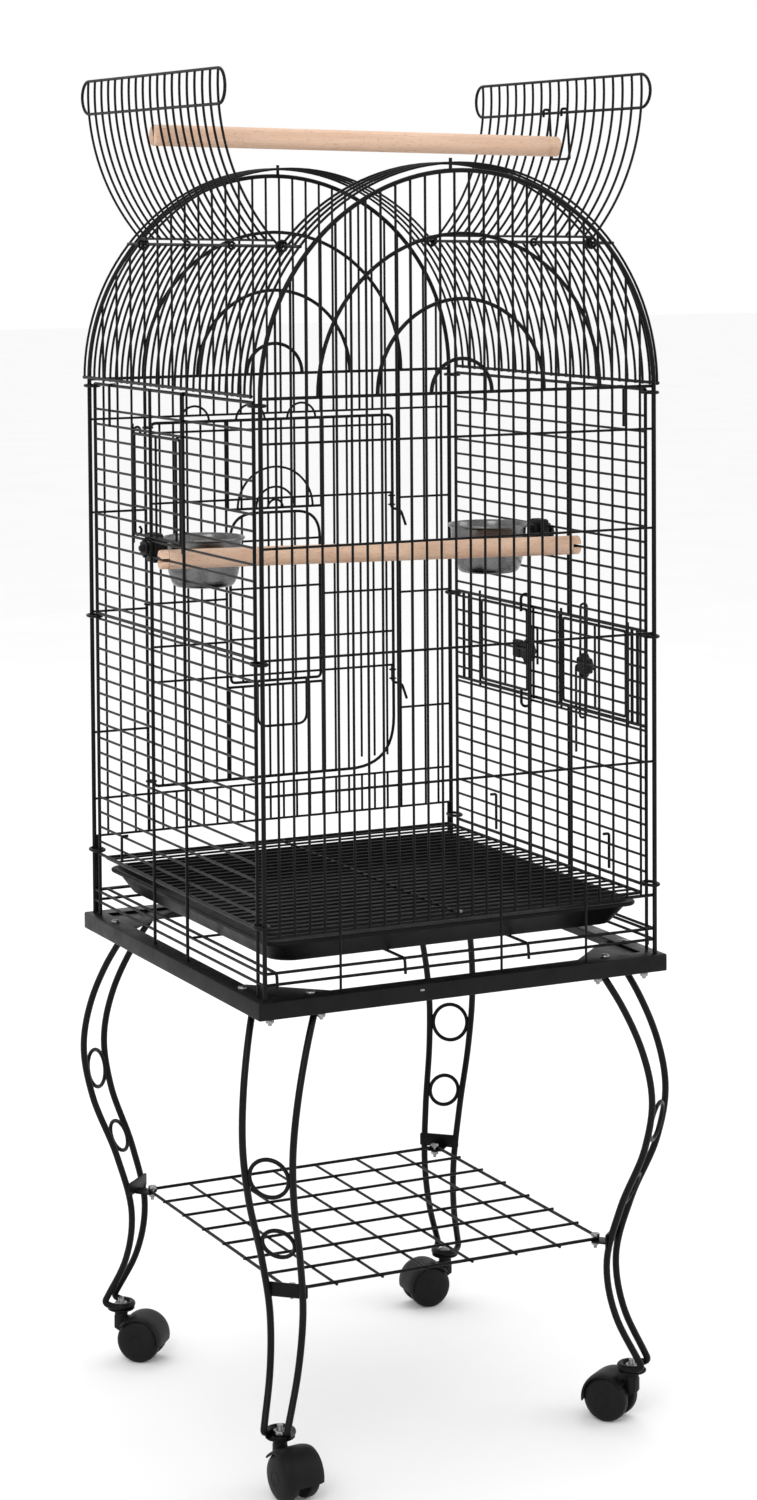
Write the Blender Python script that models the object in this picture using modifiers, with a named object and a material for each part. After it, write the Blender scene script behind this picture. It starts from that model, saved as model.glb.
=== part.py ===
"""Dome-topped bird cage on a rolling stand, in metres, +Z up, origin on the floor under its middle.

The cage's front wall faces -Y and its door wall faces +Y. Every grille is a lattice of welded
wire, drawn here with its main wires only.
"""

import math

import bmesh
import bpy
from mathutils import Matrix, Vector

NAME = "bird_cage_on_stand"

# Wire sizes
FINE = 0.0022
RAIL = 0.0036
OUTLINE_RADIUS = 0.0020
ARCH_STEPS = 18
LEG_ROD_RADIUS = 0.0035
GAP = 0.0003
RUNNING_GAP = 0.0001

# Cage walls
HALF_X = 0.215
HALF_Y = 0.222
SIDE_END_Y = 0.206
RING_Z = 1.054
WIRE_FOOT_Z = 0.4823
SKIRT_Z = (0.496, 0.507)
TRAY_RAIL_Z = 0.541
FRONT_ROWS_Z = (0.6765, 0.806, 0.912, 1.0113)
BACK_ROWS_Z = (0.565, 0.605, 0.6765, 0.806, 0.912, 1.0113)
EDGE_COLUMN_X = 0.2114
JAMB_X = 0.152
BAYS = 27
BAR_PITCH = 2 * HALF_X / BAYS
BARS_APART = 3
SIDE_ROW_PITCH = 0.0159
SIDE_TOP_ROW_Z = 1.0235
LEFT_ROWS = (1, 5, 8, 9, 17, 21, 25)
RIGHT_ROWS = (1, 5, 9, 17, 22, 25)
SIDE_TOP_RAIL_Z = 1.0500
SIDE_FOOT_RAIL_Z = 0.548
FEEDER_RAILS_Z = (0.7095, 0.806)
LEFT_COLUMNS_Y = (-0.0350, 0.0510)
RIGHT_COLUMNS_Y = (-0.0470, 0.0375)
LEFT_JAMBS_Y = (-0.0300, 0.1003)
RIGHT_JAMBS_Y = (-0.1703, -0.0577, 0.1503)

# Roof and its two flaps
ROOF_RADIUS = 0.2225
ROOF_FOOT_ANGLE = math.radians(1.3)
HINGE_ANGLE = math.radians(40)
ROOF_END_Y = 0.2165
ROOF_OPENING_Y = 0.174
FLAP_HALF_Y = 0.170
FLAP_ARC = 0.186
FLAP_LOWER_RAIL = 0.152
FLAP_ROOT = 0.008
FLAP_OPEN = math.radians(84)

# Doors, as (low, high) across the wall and (low, high) in height
DOOR_OPENING = (-0.1502, 0.1502, 0.6068, 1.0095)
DOOR = (-0.1473, 0.1452, 0.6105, 1.0060)
DOOR_COLUMNS_X = (-0.100, 0.0, 0.100)
DOOR_ROWS_Z = (0.660, 0.810, 0.950)
INNER_OPENING = (-0.0582, 0.0582, 0.7128, 0.9072)
INNER_DOOR = (-0.0555, 0.0555, 0.7160, 0.9040)
INNER_COLUMNS_X = (-0.0185, 0.0185)
INNER_ROWS_Z = (0.780, 0.840)
LEFT_FEEDER_OPENING = (-0.0289, 0.0992, 0.8974, 1.0065)
REAR_FEEDER_OPENING = (0.0393, 0.1492, 0.7113, 0.8042)
FRONT_FEEDER_OPENING = (-0.1692, -0.0588, 0.7113, 0.8042)
FEEDER_CLEARANCE = 0.0012
LATCH_X = 0.1440
LATCH_Y = 0.2262
LATCH_Z = (0.705, 0.900)
LATCH_WIRE = 0.0016
LATCH_SHANK = 0.0180
LATCH_REACH = 0.0200
LATCH_DROP = 0.0060
KNOB_Z = 0.756
KNOB_Y = (0.0520, -0.0740)
KNOB_RADIUS = 0.0100
KNOB_X = (0.2172, 0.2262)
KNOB_SIDES = 30

# Base frame
FRAME_HALF_X = 0.2248
FRAME_HALF_Y = 0.2305
FRAME_TOP_Z = 0.4820
FRAME_BOTTOM_Z = 0.4650
FRAME_FLANGE = 0.020
SHEET = 0.0020

# Legs: radius from the cage's axis against height, top to foot
LEG_ANGLE = math.radians(46.5)
LEG_PROFILE = (
    (0.4772, 0.2557),
    (0.4500, 0.2745),
    (0.4110, 0.2960),
    (0.3450, 0.3135),
    (0.2680, 0.2975),
    (0.2040, 0.2725),
    (0.1560, 0.2635),
    (0.1100, 0.2730),
    (0.0680, 0.2965),
)
LEG_SPREAD_TOP = 0.0320
LEG_SPREAD_FOOT = 0.0120
STEM_FROM_AXIS = 0.2850
FOOT_ELBOW = (0.0110, 0.0010)
FOOT_ROD_Z = 0.0577
FOOT_PLATE_RADIUS = 0.0145
FOOT_PLATE_Z = (0.0522, 0.0547)
LEG_RINGS_Z = (0.312, 0.241)
LEG_RING_WIRE = 0.0020
TAB_Z = (0.1822, 0.1840)
TAB_DEPTH = 0.0200
TAB_HALF_Y = 0.0090
CROSS_PLATE_HEIGHT = 0.0140
GUSSET_APEX = 0.306
GUSSET_DEPTH = 0.055
GUSSET_NOSE = 0.008
GUSSET_TAIL = 0.010

# Shelf
SHELF_HALF_X = 0.1745
SHELF_HALF_Y = 0.1835
SHELF_Z = 0.1855
SHELF_WIRES = 8
SHELF_BOLT_SHANK = 0.0018
SHELF_BOLT_INSET = 0.0065
SHELF_BOLT_HEAD = (0.0045, 0.0030)
SHELF_BOLT_NUT = (0.0038, 0.0032)

# Casters
WHEEL_RADIUS = 0.0235
WHEEL_WIDTH = 0.0145
WHEEL_INNER = 0.0062
AXLE_RADIUS = 0.0025
HOOD_RADIUS = 0.0262
CASTER_TRAIL = 0.024
STEM_RADIUS = 0.0040
CASTERS = (
    ("front_left", -1, -1, -83),
    ("front_right", 1, -1, 124),
    ("rear_left", -1, 1, -42),
    ("rear_right", 1, 1, 176),
)
STEM_FOOT_Z = 0.0350
STEM_TIP = (0.0028, 0.0100)
STEM_NUT = (0.0064, 0.0045)
STEM_COLLAR = (0.0060, 0.0009)
AXLE_HALF = 0.0186
BOSS_HALF = 0.0085
BOSS_Z = (0.0320, 0.0508)
HOOD_WALL = 0.0016
HOOD_HALF_WIDTH = 0.0205
HUB_RADIUS = 0.0090
WHEEL_SIDES = 18

# Tray, rack and grate
TRAY_RIM = (0.2030, 0.2070)
TRAY_FLOOR = (0.1850, 0.1890)
TRAY_Z = (0.5095, 0.5310)
TRAY_WALL = 0.0018
GRATE_HALF = (0.2080, 0.2130)
GRATE_Z = 0.5425
GRATE_WIRES = 27
RACK_Z = 0.5080
RACK_END_Y = 0.2145
RACK_X = (-0.204, -0.068, 0.068, 0.204)

# Perches and bowls
PERCH_RADIUS = 0.0100
PERCH_SLOT = 0.0034
TOP_PERCH_HALF = 0.2303
TOP_PERCH_Z = 1.3050
INNER_PERCH_ENDS = ((-0.2200, 0.0195, 0.8804), (0.2200, -0.0615, 0.8804))
TOP_PERCH_SLOT_X = 0.2165
INNER_PERCH_SLOT_X = 0.2110
HOOK_X = 0.2385
HOOK_DROP = 0.0130
HOOK_Y = (0.0260, -0.0124)
HOOK_WIRE = 0.0014
HOOK_BEND = (0.0034, 0.0040)
BOWL_RADIUS = 0.0420
BOWL_DEPTH = 0.0480
BOWL_WALL = 0.0012
BOWL_LIP = (0.0020, 0.0018)
BOWLS = (("left", -1, 0.0700, 0.8965), ("right", 1, 0.0080, 0.9010))
BOWL_X = 0.1500
CLAMP_Z = 0.8884
CLAMP_SHIFT_Y = -0.0080
CLAMP_HALF = (0.0120, 0.0150)
CLAMP_X = (0.1955, 0.2125)
STUD_RADIUS = 0.0028
STUD_END_X = 0.2240
NUT_X = (0.2166, 0.2220)
NUT_RADIUS = 0.0095

COLOURS = {
    "wire_black": ((0.012, 0.012, 0.013), 0.38, 0.0),
    "plastic_black": ((0.015, 0.015, 0.016), 0.45, 0.0),
    "wood": ((0.72, 0.50, 0.33), 0.60, 0.0),
    "steel": ((0.55, 0.56, 0.58), 0.28, 1.0),
}

parts = None
cutters = None


def start_scene():
    """Empties the scene and makes the collections for the parts and for the cutters."""
    global parts, cutters
    for obj in list(bpy.data.objects):
        bpy.data.objects.remove(obj)
    parts = bpy.data.collections.new(NAME)
    cutters = bpy.data.collections.new("cutters")
    for group in (parts, cutters):
        bpy.context.scene.collection.children.link(group)


def material(name):
    """The named finish, made on first use."""
    if name not in bpy.data.materials:
        colour, roughness, metallic = COLOURS[name]
        made = bpy.data.materials.new(name)
        made.use_nodes = True
        shader = made.node_tree.nodes["Principled BSDF"]
        shader.inputs["Base Color"].default_value = (*colour, 1.0)
        shader.inputs["Roughness"].default_value = roughness
        shader.inputs["Metallic"].default_value = metallic
    return bpy.data.materials[name]


def part(name, data, finish):
    """A visible sub-part of the object."""
    obj = bpy.data.objects.new(name, data)
    if not data.materials:
        data.materials.append(material(finish))
    parts.objects.link(obj)
    return obj


def cutter(name, data):
    """A hidden operand for a Boolean."""
    obj = bpy.data.objects.new(name, data)
    obj.hide_render = True
    obj.display_type = "WIRE"
    cutters.objects.link(obj)
    return obj


def boolean(obj, other, operation):
    """Cuts the other object from this one, or joins it on."""
    change = obj.modifiers.new(other.name, "BOOLEAN")
    change.operation = operation
    change.object = other


def evaluated_mesh(obj):
    """The object's shape after its modifiers, in world space, with doubled points merged."""
    bpy.context.view_layer.update()
    graph = bpy.context.evaluated_depsgraph_get()
    mesh = bpy.data.meshes.new_from_object(obj.evaluated_get(graph))
    mesh.transform(obj.matrix_world)
    shape = bmesh.new()
    shape.from_mesh(mesh)
    bmesh.ops.remove_doubles(shape, verts=shape.verts, dist=0.00001)
    shape.to_mesh(mesh)
    shape.free()
    return mesh


def bmesh_data(name, shape):
    """Ends a bmesh and gives its mesh."""
    bmesh.ops.recalc_face_normals(shape, faces=shape.faces)
    mesh = bpy.data.meshes.new(name)
    shape.to_mesh(mesh)
    shape.free()
    return mesh


def box_data(name, low, high):
    """A box between two corners."""
    shape = bmesh.new()
    bmesh.ops.create_cube(shape, size=1.0)
    size = [high[k] - low[k] for k in range(3)]
    middle = [(high[k] + low[k]) / 2 for k in range(3)]
    bmesh.ops.scale(shape, vec=size, verts=shape.verts)
    bmesh.ops.translate(shape, vec=middle, verts=shape.verts)
    return bmesh_data(name, shape)


def cylinder_data(name, radius, start, end, sides=16):
    """A cylinder between two points."""
    start = Vector(start)
    axis = Vector(end) - start
    shape = bmesh.new()
    bmesh.ops.create_cone(
        shape, cap_ends=True, segments=sides, radius1=radius, radius2=radius, depth=axis.length
    )
    turn = Vector((0, 0, 1)).rotation_difference(axis).to_matrix().to_4x4()
    bmesh.ops.transform(shape, matrix=Matrix.Translation(start + axis / 2) @ turn, verts=shape.verts)
    return bmesh_data(name, shape)


def turned(name, profile, finish, sides):
    """A body turned about Z; the (radius, height) profile runs down the outer side."""
    mesh = bpy.data.meshes.new(name)
    points = [(radius, 0, height) for radius, height in profile]
    mesh.from_pydata(points, [(k, k + 1) for k in range(len(points) - 1)], [])
    obj = part(name, mesh, finish)
    screw = obj.modifiers.new("turn", "SCREW")
    screw.steps = sides
    screw.render_steps = sides
    screw.use_merge_vertices = True
    screw.merge_threshold = 0.00001
    return obj


def rod_data(name, points, radius, rounding=1, closed=False):
    """A bent rod along the points."""
    curve = bpy.data.curves.new(name, "CURVE")
    curve.dimensions = "3D"
    curve.bevel_depth = radius
    curve.bevel_resolution = rounding
    curve.use_fill_caps = not closed
    spline = curve.splines.new("POLY")
    spline.points.add(len(points) - 1)
    for point, place in zip(spline.points, points):
        point.co = (*place, 1.0)
    spline.use_cyclic_u = closed
    return curve


def rod_cutter(name, points, radius, rounding=1, closed=False):
    """A bent rod as a closed mesh, for a Boolean."""
    guide = cutter(name + "_guide", rod_data(name, points, radius, rounding, closed))
    mesh = evaluated_mesh(guide)
    bpy.data.objects.remove(guide)
    return cutter(name, mesh)


def arc(centre, radius, start, end, steps):
    """Points (a, b) on a circle's arc, angles in radians."""
    turns = [start + (end - start) * k / steps for k in range(steps + 1)]
    return [(centre[0] + radius * math.cos(t), centre[1] + radius * math.sin(t)) for t in turns]


def smooth(points, steps):
    """Points along a Catmull-Rom curve through the given points."""
    padded = [points[0], *points, points[-1]]
    path = []
    for k in range(len(points) - 1):
        p0, p1, p2, p3 = [Vector(p) for p in padded[k : k + 4]]
        for step in range(steps):
            t = step / steps
            path.append(
                0.5
                * (
                    2 * p1
                    + (p2 - p0) * t
                    + (2 * p0 - 5 * p1 + 4 * p2 - p3) * t**2
                    + (3 * p1 - p0 - 3 * p2 + p3) * t**3
                )
            )
    return [*path, Vector(points[-1])]


def bands(bars, start=None, end=None, steps=None):
    """Cuts a line into bars and gaps: gives the cut places and, for each cell, whether it is wire.

    bars are (centre, width) pairs in order; start and end add a gap before and after them, and
    steps says into how many cells each gap between bars is cut.
    """
    steps = steps or [1] * (len(bars) - 1)
    cuts = []
    wire = []
    if start is not None:
        cuts.append(start)
        wire.append(False)
    for k, (centre, width) in enumerate(bars):
        near = centre + width / 2
        cuts.extend((centre - width / 2, near))
        wire.append(True)
        if k + 1 < len(bars):
            far = bars[k + 1][0] - bars[k + 1][1] / 2
            cuts.extend(near + (far - near) * s / steps[k] for s in range(1, steps[k]))
            wire.extend([False] * steps[k])
    if end is not None:
        cuts.append(end)
        wire.append(False)
    return cuts, wire


def lattice(name, across, along, place, is_wire=None, thickness=FINE, finish="wire_black"):
    """A welded grille: a grid of cells on a surface, without the holes, thickened.

    place(u, v) gives the point of the surface, and is_wire(u, v, u_bar, v_bar) may say which
    cells are wire.
    """
    u_cuts, u_wire = across
    v_cuts, v_wire = along
    columns = len(u_wire)
    rows = len(v_wire)
    shape = bmesh.new()
    bmesh.ops.create_grid(shape, x_segments=columns, y_segments=rows, size=1.0)
    index = {}
    for vert in shape.verts:
        i = round((vert.co.x + 1) / 2 * columns)
        j = round((vert.co.y + 1) / 2 * rows)
        index[vert] = (i, j)
    holes = []
    for face in shape.faces:
        i = min(index[v][0] for v in face.verts)
        j = min(index[v][1] for v in face.verts)
        u = (u_cuts[i] + u_cuts[i + 1]) / 2
        v = (v_cuts[j] + v_cuts[j + 1]) / 2
        keep = u_wire[i] or v_wire[j]
        if is_wire:
            keep = is_wire(u, v, u_wire[i], v_wire[j])
        if not keep:
            holes.append(face)
    for vert, (i, j) in index.items():
        vert.co = place(u_cuts[i], v_cuts[j])
    bmesh.ops.delete(shape, geom=holes, context="FACES")
    mesh = bpy.data.meshes.new(name)
    shape.to_mesh(mesh)
    shape.free()
    obj = part(name, mesh, finish)
    shell = obj.modifiers.new("wire", "SOLIDIFY")
    shell.thickness = thickness
    shell.offset = 0
    return obj


def inside(area, u, v):
    """Whether a point is in a (low u, high u, low v, high v) rectangle."""
    return area[0] < u < area[1] and area[2] < v < area[3]


def even_bars(low, high, count, width=FINE):
    """Evenly spaced bars between two centres, both included."""
    return [(low + (high - low) * k / (count - 1), width) for k in range(count)]


def fine_bars(*centres):
    """Fine bars at the given centres."""
    return [(centre, FINE) for centre in centres]


def end_wall_place(y):
    """Maps (x, height) to an end wall at y; heights above the ring all go to the arch."""
    reach = (HALF_X - OUTLINE_RADIUS) * math.cos(math.pi / 2 / ARCH_STEPS) - GAP

    def place(x, z):
        if z < RING_Z + RAIL:
            return (x, y, z)
        return (x, y, RING_Z + math.sqrt(max(0, reach**2 - x**2)) - GAP)

    return place


def outline_frame(name, y):
    """The bent rod round an end wall: up one side, over the arch and down the other."""
    arch = [(x, y, z) for x, z in arc((0, RING_Z), HALF_X, math.pi, 0, ARCH_STEPS)]
    points = [(-HALF_X, y, WIRE_FOOT_Z), *arch, (HALF_X, y, WIRE_FOOT_Z)]
    part(name, rod_data(name, points, OUTLINE_RADIUS), "wire_black")


def end_grille(name, y, rows_z, columns, opening=None):
    """An end wall's wires: rows, and columns that run on from the ring to the arch."""
    edge = HALF_X - OUTLINE_RADIUS - GAP
    ends = [(-EDGE_COLUMN_X, FINE), (EDGE_COLUMN_X, FINE)]
    across = bands(sorted([*ends, *columns]), -edge, edge)
    rows = [(z, FINE) for z in (*SKIRT_Z, *rows_z)]
    along = bands([*rows, (RING_Z - RAIL / 2, RAIL)], end=RING_Z + HALF_X)

    def is_wire(x, z, x_bar, z_bar):
        if opening and inside(opening, x, z):
            return False
        if SKIRT_Z[1] < z < rows_z[0] and not z_bar:
            return x_bar and abs(x) > JAMB_X + RAIL + BAR_PITCH
        if z > RING_Z:
            return x_bar and abs(x) < EDGE_COLUMN_X - FINE
        return z_bar or x_bar

    lattice(name, across, along, end_wall_place(y), is_wire)


def end_walls():
    """The plain wall at the front and the door wall at the back, each with its outline rod."""
    outline_frame("front_frame", -HALF_Y)
    outline_frame("back_frame", HALF_Y)
    count = BAYS // BARS_APART
    columns = [(-HALF_X + BAR_PITCH * BARS_APART * k, FINE) for k in range(1, count)]
    end_grille("front_grille", -HALF_Y, (TRAY_RAIL_Z, *FRONT_ROWS_Z), columns)
    jambs = [(-JAMB_X, RAIL), (JAMB_X, RAIL)]
    end_grille("back_grille", HALF_Y, BACK_ROWS_Z, [*columns[1:-1], *jambs], DOOR_OPENING)


def side_panel(name, x, columns_y, jambs_y, rows, openings):
    """A side wall: closely spaced rows, a few strong columns, and jambs beside each opening."""
    columns = [(y, RAIL) for y in (-SIDE_END_Y, *columns_y, SIDE_END_Y)]
    jambs = [(y, FINE) for y in jambs_y]
    ends = [(z, FINE) for z in SKIRT_Z] + [(SIDE_FOOT_RAIL_Z, RAIL), (SIDE_TOP_RAIL_Z, RAIL)]
    along = bands(sorted([*ends, *rows]), WIRE_FOOT_Z)
    low = min(area[2] for area in openings)
    high = max(area[3] for area in openings)

    def is_wire(y, z, y_bar, z_bar):
        if any(inside(area, y, z) for area in openings):
            return False
        if z < SKIRT_Z[0] - FINE:
            return y_bar and abs(y) > SIDE_END_Y - RAIL
        if y_bar and any(abs(y - jamb) < FINE / 4 for jamb in jambs_y):
            return z_bar or low < z < high
        return y_bar or z_bar

    lattice(name, bands(sorted([*columns, *jambs])), along, lambda y, z: (x, y, z), is_wire)


def side_row(k):
    """Height of a side wall's k-th fine wire, counted down."""
    return (SIDE_TOP_ROW_Z - SIDE_ROW_PITCH * k, FINE)


def side_walls():
    """The two side walls: the left one has one feeder opening, the right one has two."""
    left_rows = [side_row(k) for k in LEFT_ROWS]
    left_rows.append((FEEDER_RAILS_Z[1], RAIL))
    side_panel(
        "left_side_panel", -HALF_X, LEFT_COLUMNS_Y, LEFT_JAMBS_Y, left_rows, [LEFT_FEEDER_OPENING]
    )
    right_rows = [side_row(k) for k in RIGHT_ROWS]
    right_rows.extend((z, RAIL) for z in FEEDER_RAILS_Z)
    openings = [REAR_FEEDER_OPENING, FRONT_FEEDER_OPENING]
    side_panel("right_side_panel", HALF_X, RIGHT_COLUMNS_Y, RIGHT_JAMBS_Y, right_rows, openings)


def roof():
    """The barrel roof: full arches at both ends, quarter arches between, open in the middle."""
    width = RAIL / ROOF_RADIUS
    ends = [(-ROOF_END_Y, FINE), (-ROOF_OPENING_Y, FINE)]
    middle = even_bars(-ROOF_OPENING_Y / 3 * 2, ROOF_OPENING_Y / 3 * 2, 5)
    across = bands([*ends, *middle, *[(-y, w) for y, w in reversed(ends)]])
    angles = (ROOF_FOOT_ANGLE, HINGE_ANGLE, math.pi - HINGE_ANGLE, math.pi - ROOF_FOOT_ANGLE)
    along = bands([(a, width) for a in angles], steps=[3, 8, 3])
    opening = (-ROOF_OPENING_Y, ROOF_OPENING_Y, HINGE_ANGLE, math.pi - HINGE_ANGLE)
    opening = (opening[0] + FINE, opening[1] - FINE, opening[2] + width, opening[3] - width)

    def place(y, angle):
        return (ROOF_RADIUS * math.cos(angle), y, RING_Z + ROOF_RADIUS * math.sin(angle))

    def is_wire(y, angle, y_bar, angle_bar):
        return (y_bar or angle_bar) and not inside(opening, y, angle)

    lattice("roof_grille", across, along, place, is_wire)


def hinge_line(side):
    """Centre of a roof flap's hinge, as (x, z)."""
    return (
        side * ROOF_RADIUS * math.cos(HINGE_ANGLE),
        RING_Z + ROOF_RADIUS * math.sin(HINGE_ANGLE),
    )


def flap_place(side):
    """Maps (y, arc length from the hinge) to a flap swung open from its closed place on the roof."""
    hinge_x, hinge_z = hinge_line(1)

    def place(y, reach):
        angle = HINGE_ANGLE + reach / ROOF_RADIUS
        x = ROOF_RADIUS * math.cos(angle) - hinge_x
        z = RING_Z + ROOF_RADIUS * math.sin(angle) - hinge_z
        turned_x = x * math.cos(FLAP_OPEN) + z * math.sin(FLAP_OPEN)
        turned_z = z * math.cos(FLAP_OPEN) - x * math.sin(FLAP_OPEN)
        return (side * (hinge_x + turned_x), y, hinge_z + turned_z)

    return place


def flap(name, side):
    """A roof flap: curved wires between a root rail and a double rail at its free edge."""
    across = bands(even_bars(-FLAP_HALF_Y, FLAP_HALF_Y, 7))
    rails = [(FLAP_ROOT, FINE), (FLAP_LOWER_RAIL, FINE), (FLAP_ARC, RAIL)]
    along = bands(rails, steps=[4, 1])
    lattice(name, across, along, flap_place(side))


def wire_door(name, area, columns, rows, place, hole=None):
    """A flat door: a strong border with columns and rows of fine wire, round a hole if it has one."""
    low_u, high_u, low_v, high_v = area
    half = RAIL / 2
    border_u = [(low_u + half, RAIL), (high_u - half, RAIL)]
    border_v = [(low_v + half, RAIL), (high_v - half, RAIL)]

    def is_wire(u, v, u_bar, v_bar):
        return (u_bar or v_bar) and not (hole and inside(hole, u, v))

    across = bands(sorted([*border_u, *columns]))
    along = bands(sorted([*border_v, *rows]))
    lattice(name, across, along, place, is_wire)


def doors():
    """The main door with a small door inside it, and three feeder doors."""

    def back(x, z):
        return (x, HALF_Y, z)

    jamb = INNER_OPENING[1] + FINE / 2
    sill = INNER_OPENING[2] - FINE / 2
    head = INNER_OPENING[3] + FINE / 2
    columns = fine_bars(*DOOR_COLUMNS_X, -jamb, jamb)
    rows = fine_bars(*DOOR_ROWS_Z, sill, head)
    wire_door("main_door", DOOR, columns, rows, back, INNER_OPENING)
    wire_door("inner_door", INNER_DOOR, fine_bars(*INNER_COLUMNS_X), fine_bars(*INNER_ROWS_Z), back)
    feeders = (
        ("left_feeder_door", -HALF_X, LEFT_FEEDER_OPENING),
        ("right_rear_feeder_door", HALF_X, REAR_FEEDER_OPENING),
        ("right_front_feeder_door", HALF_X, FRONT_FEEDER_OPENING),
    )
    for name, x, opening in feeders:
        low_y, high_y, low_z, high_z = opening
        trim = FEEDER_CLEARANCE
        area = (low_y + trim, high_y - trim, low_z + trim, high_z - trim)
        columns = fine_bars((low_y + high_y) / 2)
        rows = fine_bars(low_z * 2 / 3 + high_z / 3, low_z / 3 + high_z * 2 / 3)
        wire_door(name, area, columns, rows, lambda y, z, x=x: (x, y, z))


def door_latches():
    """Two bent wire latches on the main door's free edge, each turning on its upright shank."""
    for name, z in zip(("lower_door_latch", "upper_door_latch"), LATCH_Z):
        points = (
            (LATCH_X, LATCH_Y, z + LATCH_SHANK),
            (LATCH_X, LATCH_Y, z + LATCH_WIRE),
            (LATCH_X + LATCH_WIRE, LATCH_Y, z - LATCH_WIRE),
            (LATCH_X + LATCH_REACH * 0.8, LATCH_Y, z - LATCH_DROP),
            (LATCH_X + LATCH_REACH * 0.95, LATCH_Y, z - LATCH_DROP * 0.75),
            (LATCH_X + LATCH_REACH, LATCH_Y, z + LATCH_DROP * 0.6),
        )
        part(name, rod_data(name, points, LATCH_WIRE), "wire_black")


def plate_mesh(name, outline, half_thickness, place):
    """A flat outline, thickened both ways and put in its place."""
    curve = bpy.data.curves.new(name + "_outline", "CURVE")
    curve.dimensions = "2D"
    curve.fill_mode = "BOTH"
    curve.extrude = half_thickness
    spline = curve.splines.new("POLY")
    spline.points.add(len(outline) - 1)
    for point, (a, b) in zip(spline.points, outline):
        point.co = (a, b, 0, 1)
    spline.use_cyclic_u = True
    guide = cutter(name + "_guide", curve)
    mesh = evaluated_mesh(guide)
    bpy.data.objects.remove(guide)
    mesh.transform(place)
    mesh.materials.clear()
    return mesh


def lobed_outline(radius):
    """Outline of a knob with five lobes."""
    outline = []
    for k in range(KNOB_SIDES):
        turn = 2 * math.pi * k / KNOB_SIDES
        size = radius * (0.9 + 0.1 * math.cos(5 * turn))
        outline.append((size * math.cos(turn), size * math.sin(turn)))
    return outline


def knob_mesh(name, radius, low_x, high_x, y, z):
    """A lobed knob between two places along X."""
    turn = Matrix.Rotation(math.pi / 2, 4, "Y")
    place = Matrix.Translation(((low_x + high_x) / 2, y, z)) @ turn
    return plate_mesh(name, lobed_outline(radius), (high_x - low_x) / 2, place)


def feeder_knobs():
    """A lobed knob on each of the right wall's feeder doors."""
    for name, y in zip(("rear_feeder_knob", "front_feeder_knob"), KNOB_Y):
        part(name, knob_mesh(name, KNOB_RADIUS, *KNOB_X, y, KNOB_Z), "plastic_black")


def base_frame():
    """The stand's square top: angle section with its flange on top, pointing inwards."""
    low = (-FRAME_HALF_X, -FRAME_HALF_Y, FRAME_BOTTOM_Z)
    high = (FRAME_HALF_X, FRAME_HALF_Y, FRAME_TOP_Z)
    frame = part("base_frame", box_data("base_frame", low, high), "wire_black")
    for name, inset, top in (("under", SHEET, -SHEET), ("window", FRAME_FLANGE, SHEET)):
        low = (inset - FRAME_HALF_X, inset - FRAME_HALF_Y, FRAME_BOTTOM_Z - SHEET)
        high = (FRAME_HALF_X - inset, FRAME_HALF_Y - inset, FRAME_TOP_Z + top)
        boolean(frame, cutter(f"base_frame_{name}", box_data(name, low, high)), "DIFFERENCE")


def leg_radius(z):
    """The leg's distance from the cage's axis at a height, and its slope there."""
    path = smooth([(p[0], p[1], 0) for p in LEG_PROFILE], 6)
    for above, below in zip(path, path[1:]):
        if below.x <= z <= above.x:
            share = (above.x - z) / (above.x - below.x)
            slope = (above.y - below.y) / (above.x - below.x)
            return above.y + (below.y - above.y) * share, slope
    raise ValueError("height outside the leg")


def leg_spread(z):
    """Half the distance between a leg's two rods at a height."""
    top, foot = LEG_PROFILE[0][0], LEG_PROFILE[-1][0]
    share = (z - foot) / (top - foot)
    return LEG_SPREAD_FOOT + (LEG_SPREAD_TOP - LEG_SPREAD_FOOT) * share


def leg_rod_points():
    """One rod: down one side of the leg, round the caster's stem and up the other side.

    In the leg's own frame X is the distance from the cage's axis and Y runs across the leg.
    """
    side = []
    for z, radius, _ in smooth([(p[0], p[1], 0) for p in LEG_PROFILE], 2):
        side.append((radius, leg_spread(z), z))
    side.append((STEM_FROM_AXIS + FOOT_ELBOW[0], LEG_SPREAD_FOOT, FOOT_ROD_Z + FOOT_ELBOW[1]))
    bend = arc((STEM_FROM_AXIS, 0), LEG_SPREAD_FOOT, math.pi / 2, math.pi * 3 / 2, 8)
    foot = [(x, y, FOOT_ROD_Z) for x, y in bend]
    return [*side, *foot, *[(x, -y, z) for x, y, z in reversed(side)]]


def leg_ring(z):
    """A decorative ring that fills the space between a leg's rods."""
    radius, slope = leg_radius(z)
    size = leg_spread(z) - LEG_ROD_RADIUS - LEG_RING_WIRE / 2
    lean = math.hypot(1, slope)
    points = []
    for k in range(14):
        turn = 2 * math.pi * k / 14
        rise = size * math.sin(turn) / lean
        points.append((radius + slope * rise, size * math.cos(turn), z + rise))
    return rod_cutter(f"leg_ring_{z}", points, LEG_RING_WIRE, 0, True)


def shelf_bracket():
    """The plate across a leg's rods and the tab on it that carries the shelf."""
    low, high = TAB_Z
    middle = low + CROSS_PLATE_HEIGHT / 2
    plate_x = leg_radius(middle)[0] - LEG_ROD_RADIUS
    half = leg_spread(middle) + LEG_ROD_RADIUS
    near = (plate_x - SHEET / 2, -half, low)
    far = (plate_x + SHEET / 2, half, low + CROSS_PLATE_HEIGHT)
    tab_near = (plate_x - TAB_DEPTH, -TAB_HALF_Y, low)
    tab_far = (plate_x, TAB_HALF_Y, high)
    return box_data("cross", near, far), box_data("tab", tab_near, tab_far)


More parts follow.
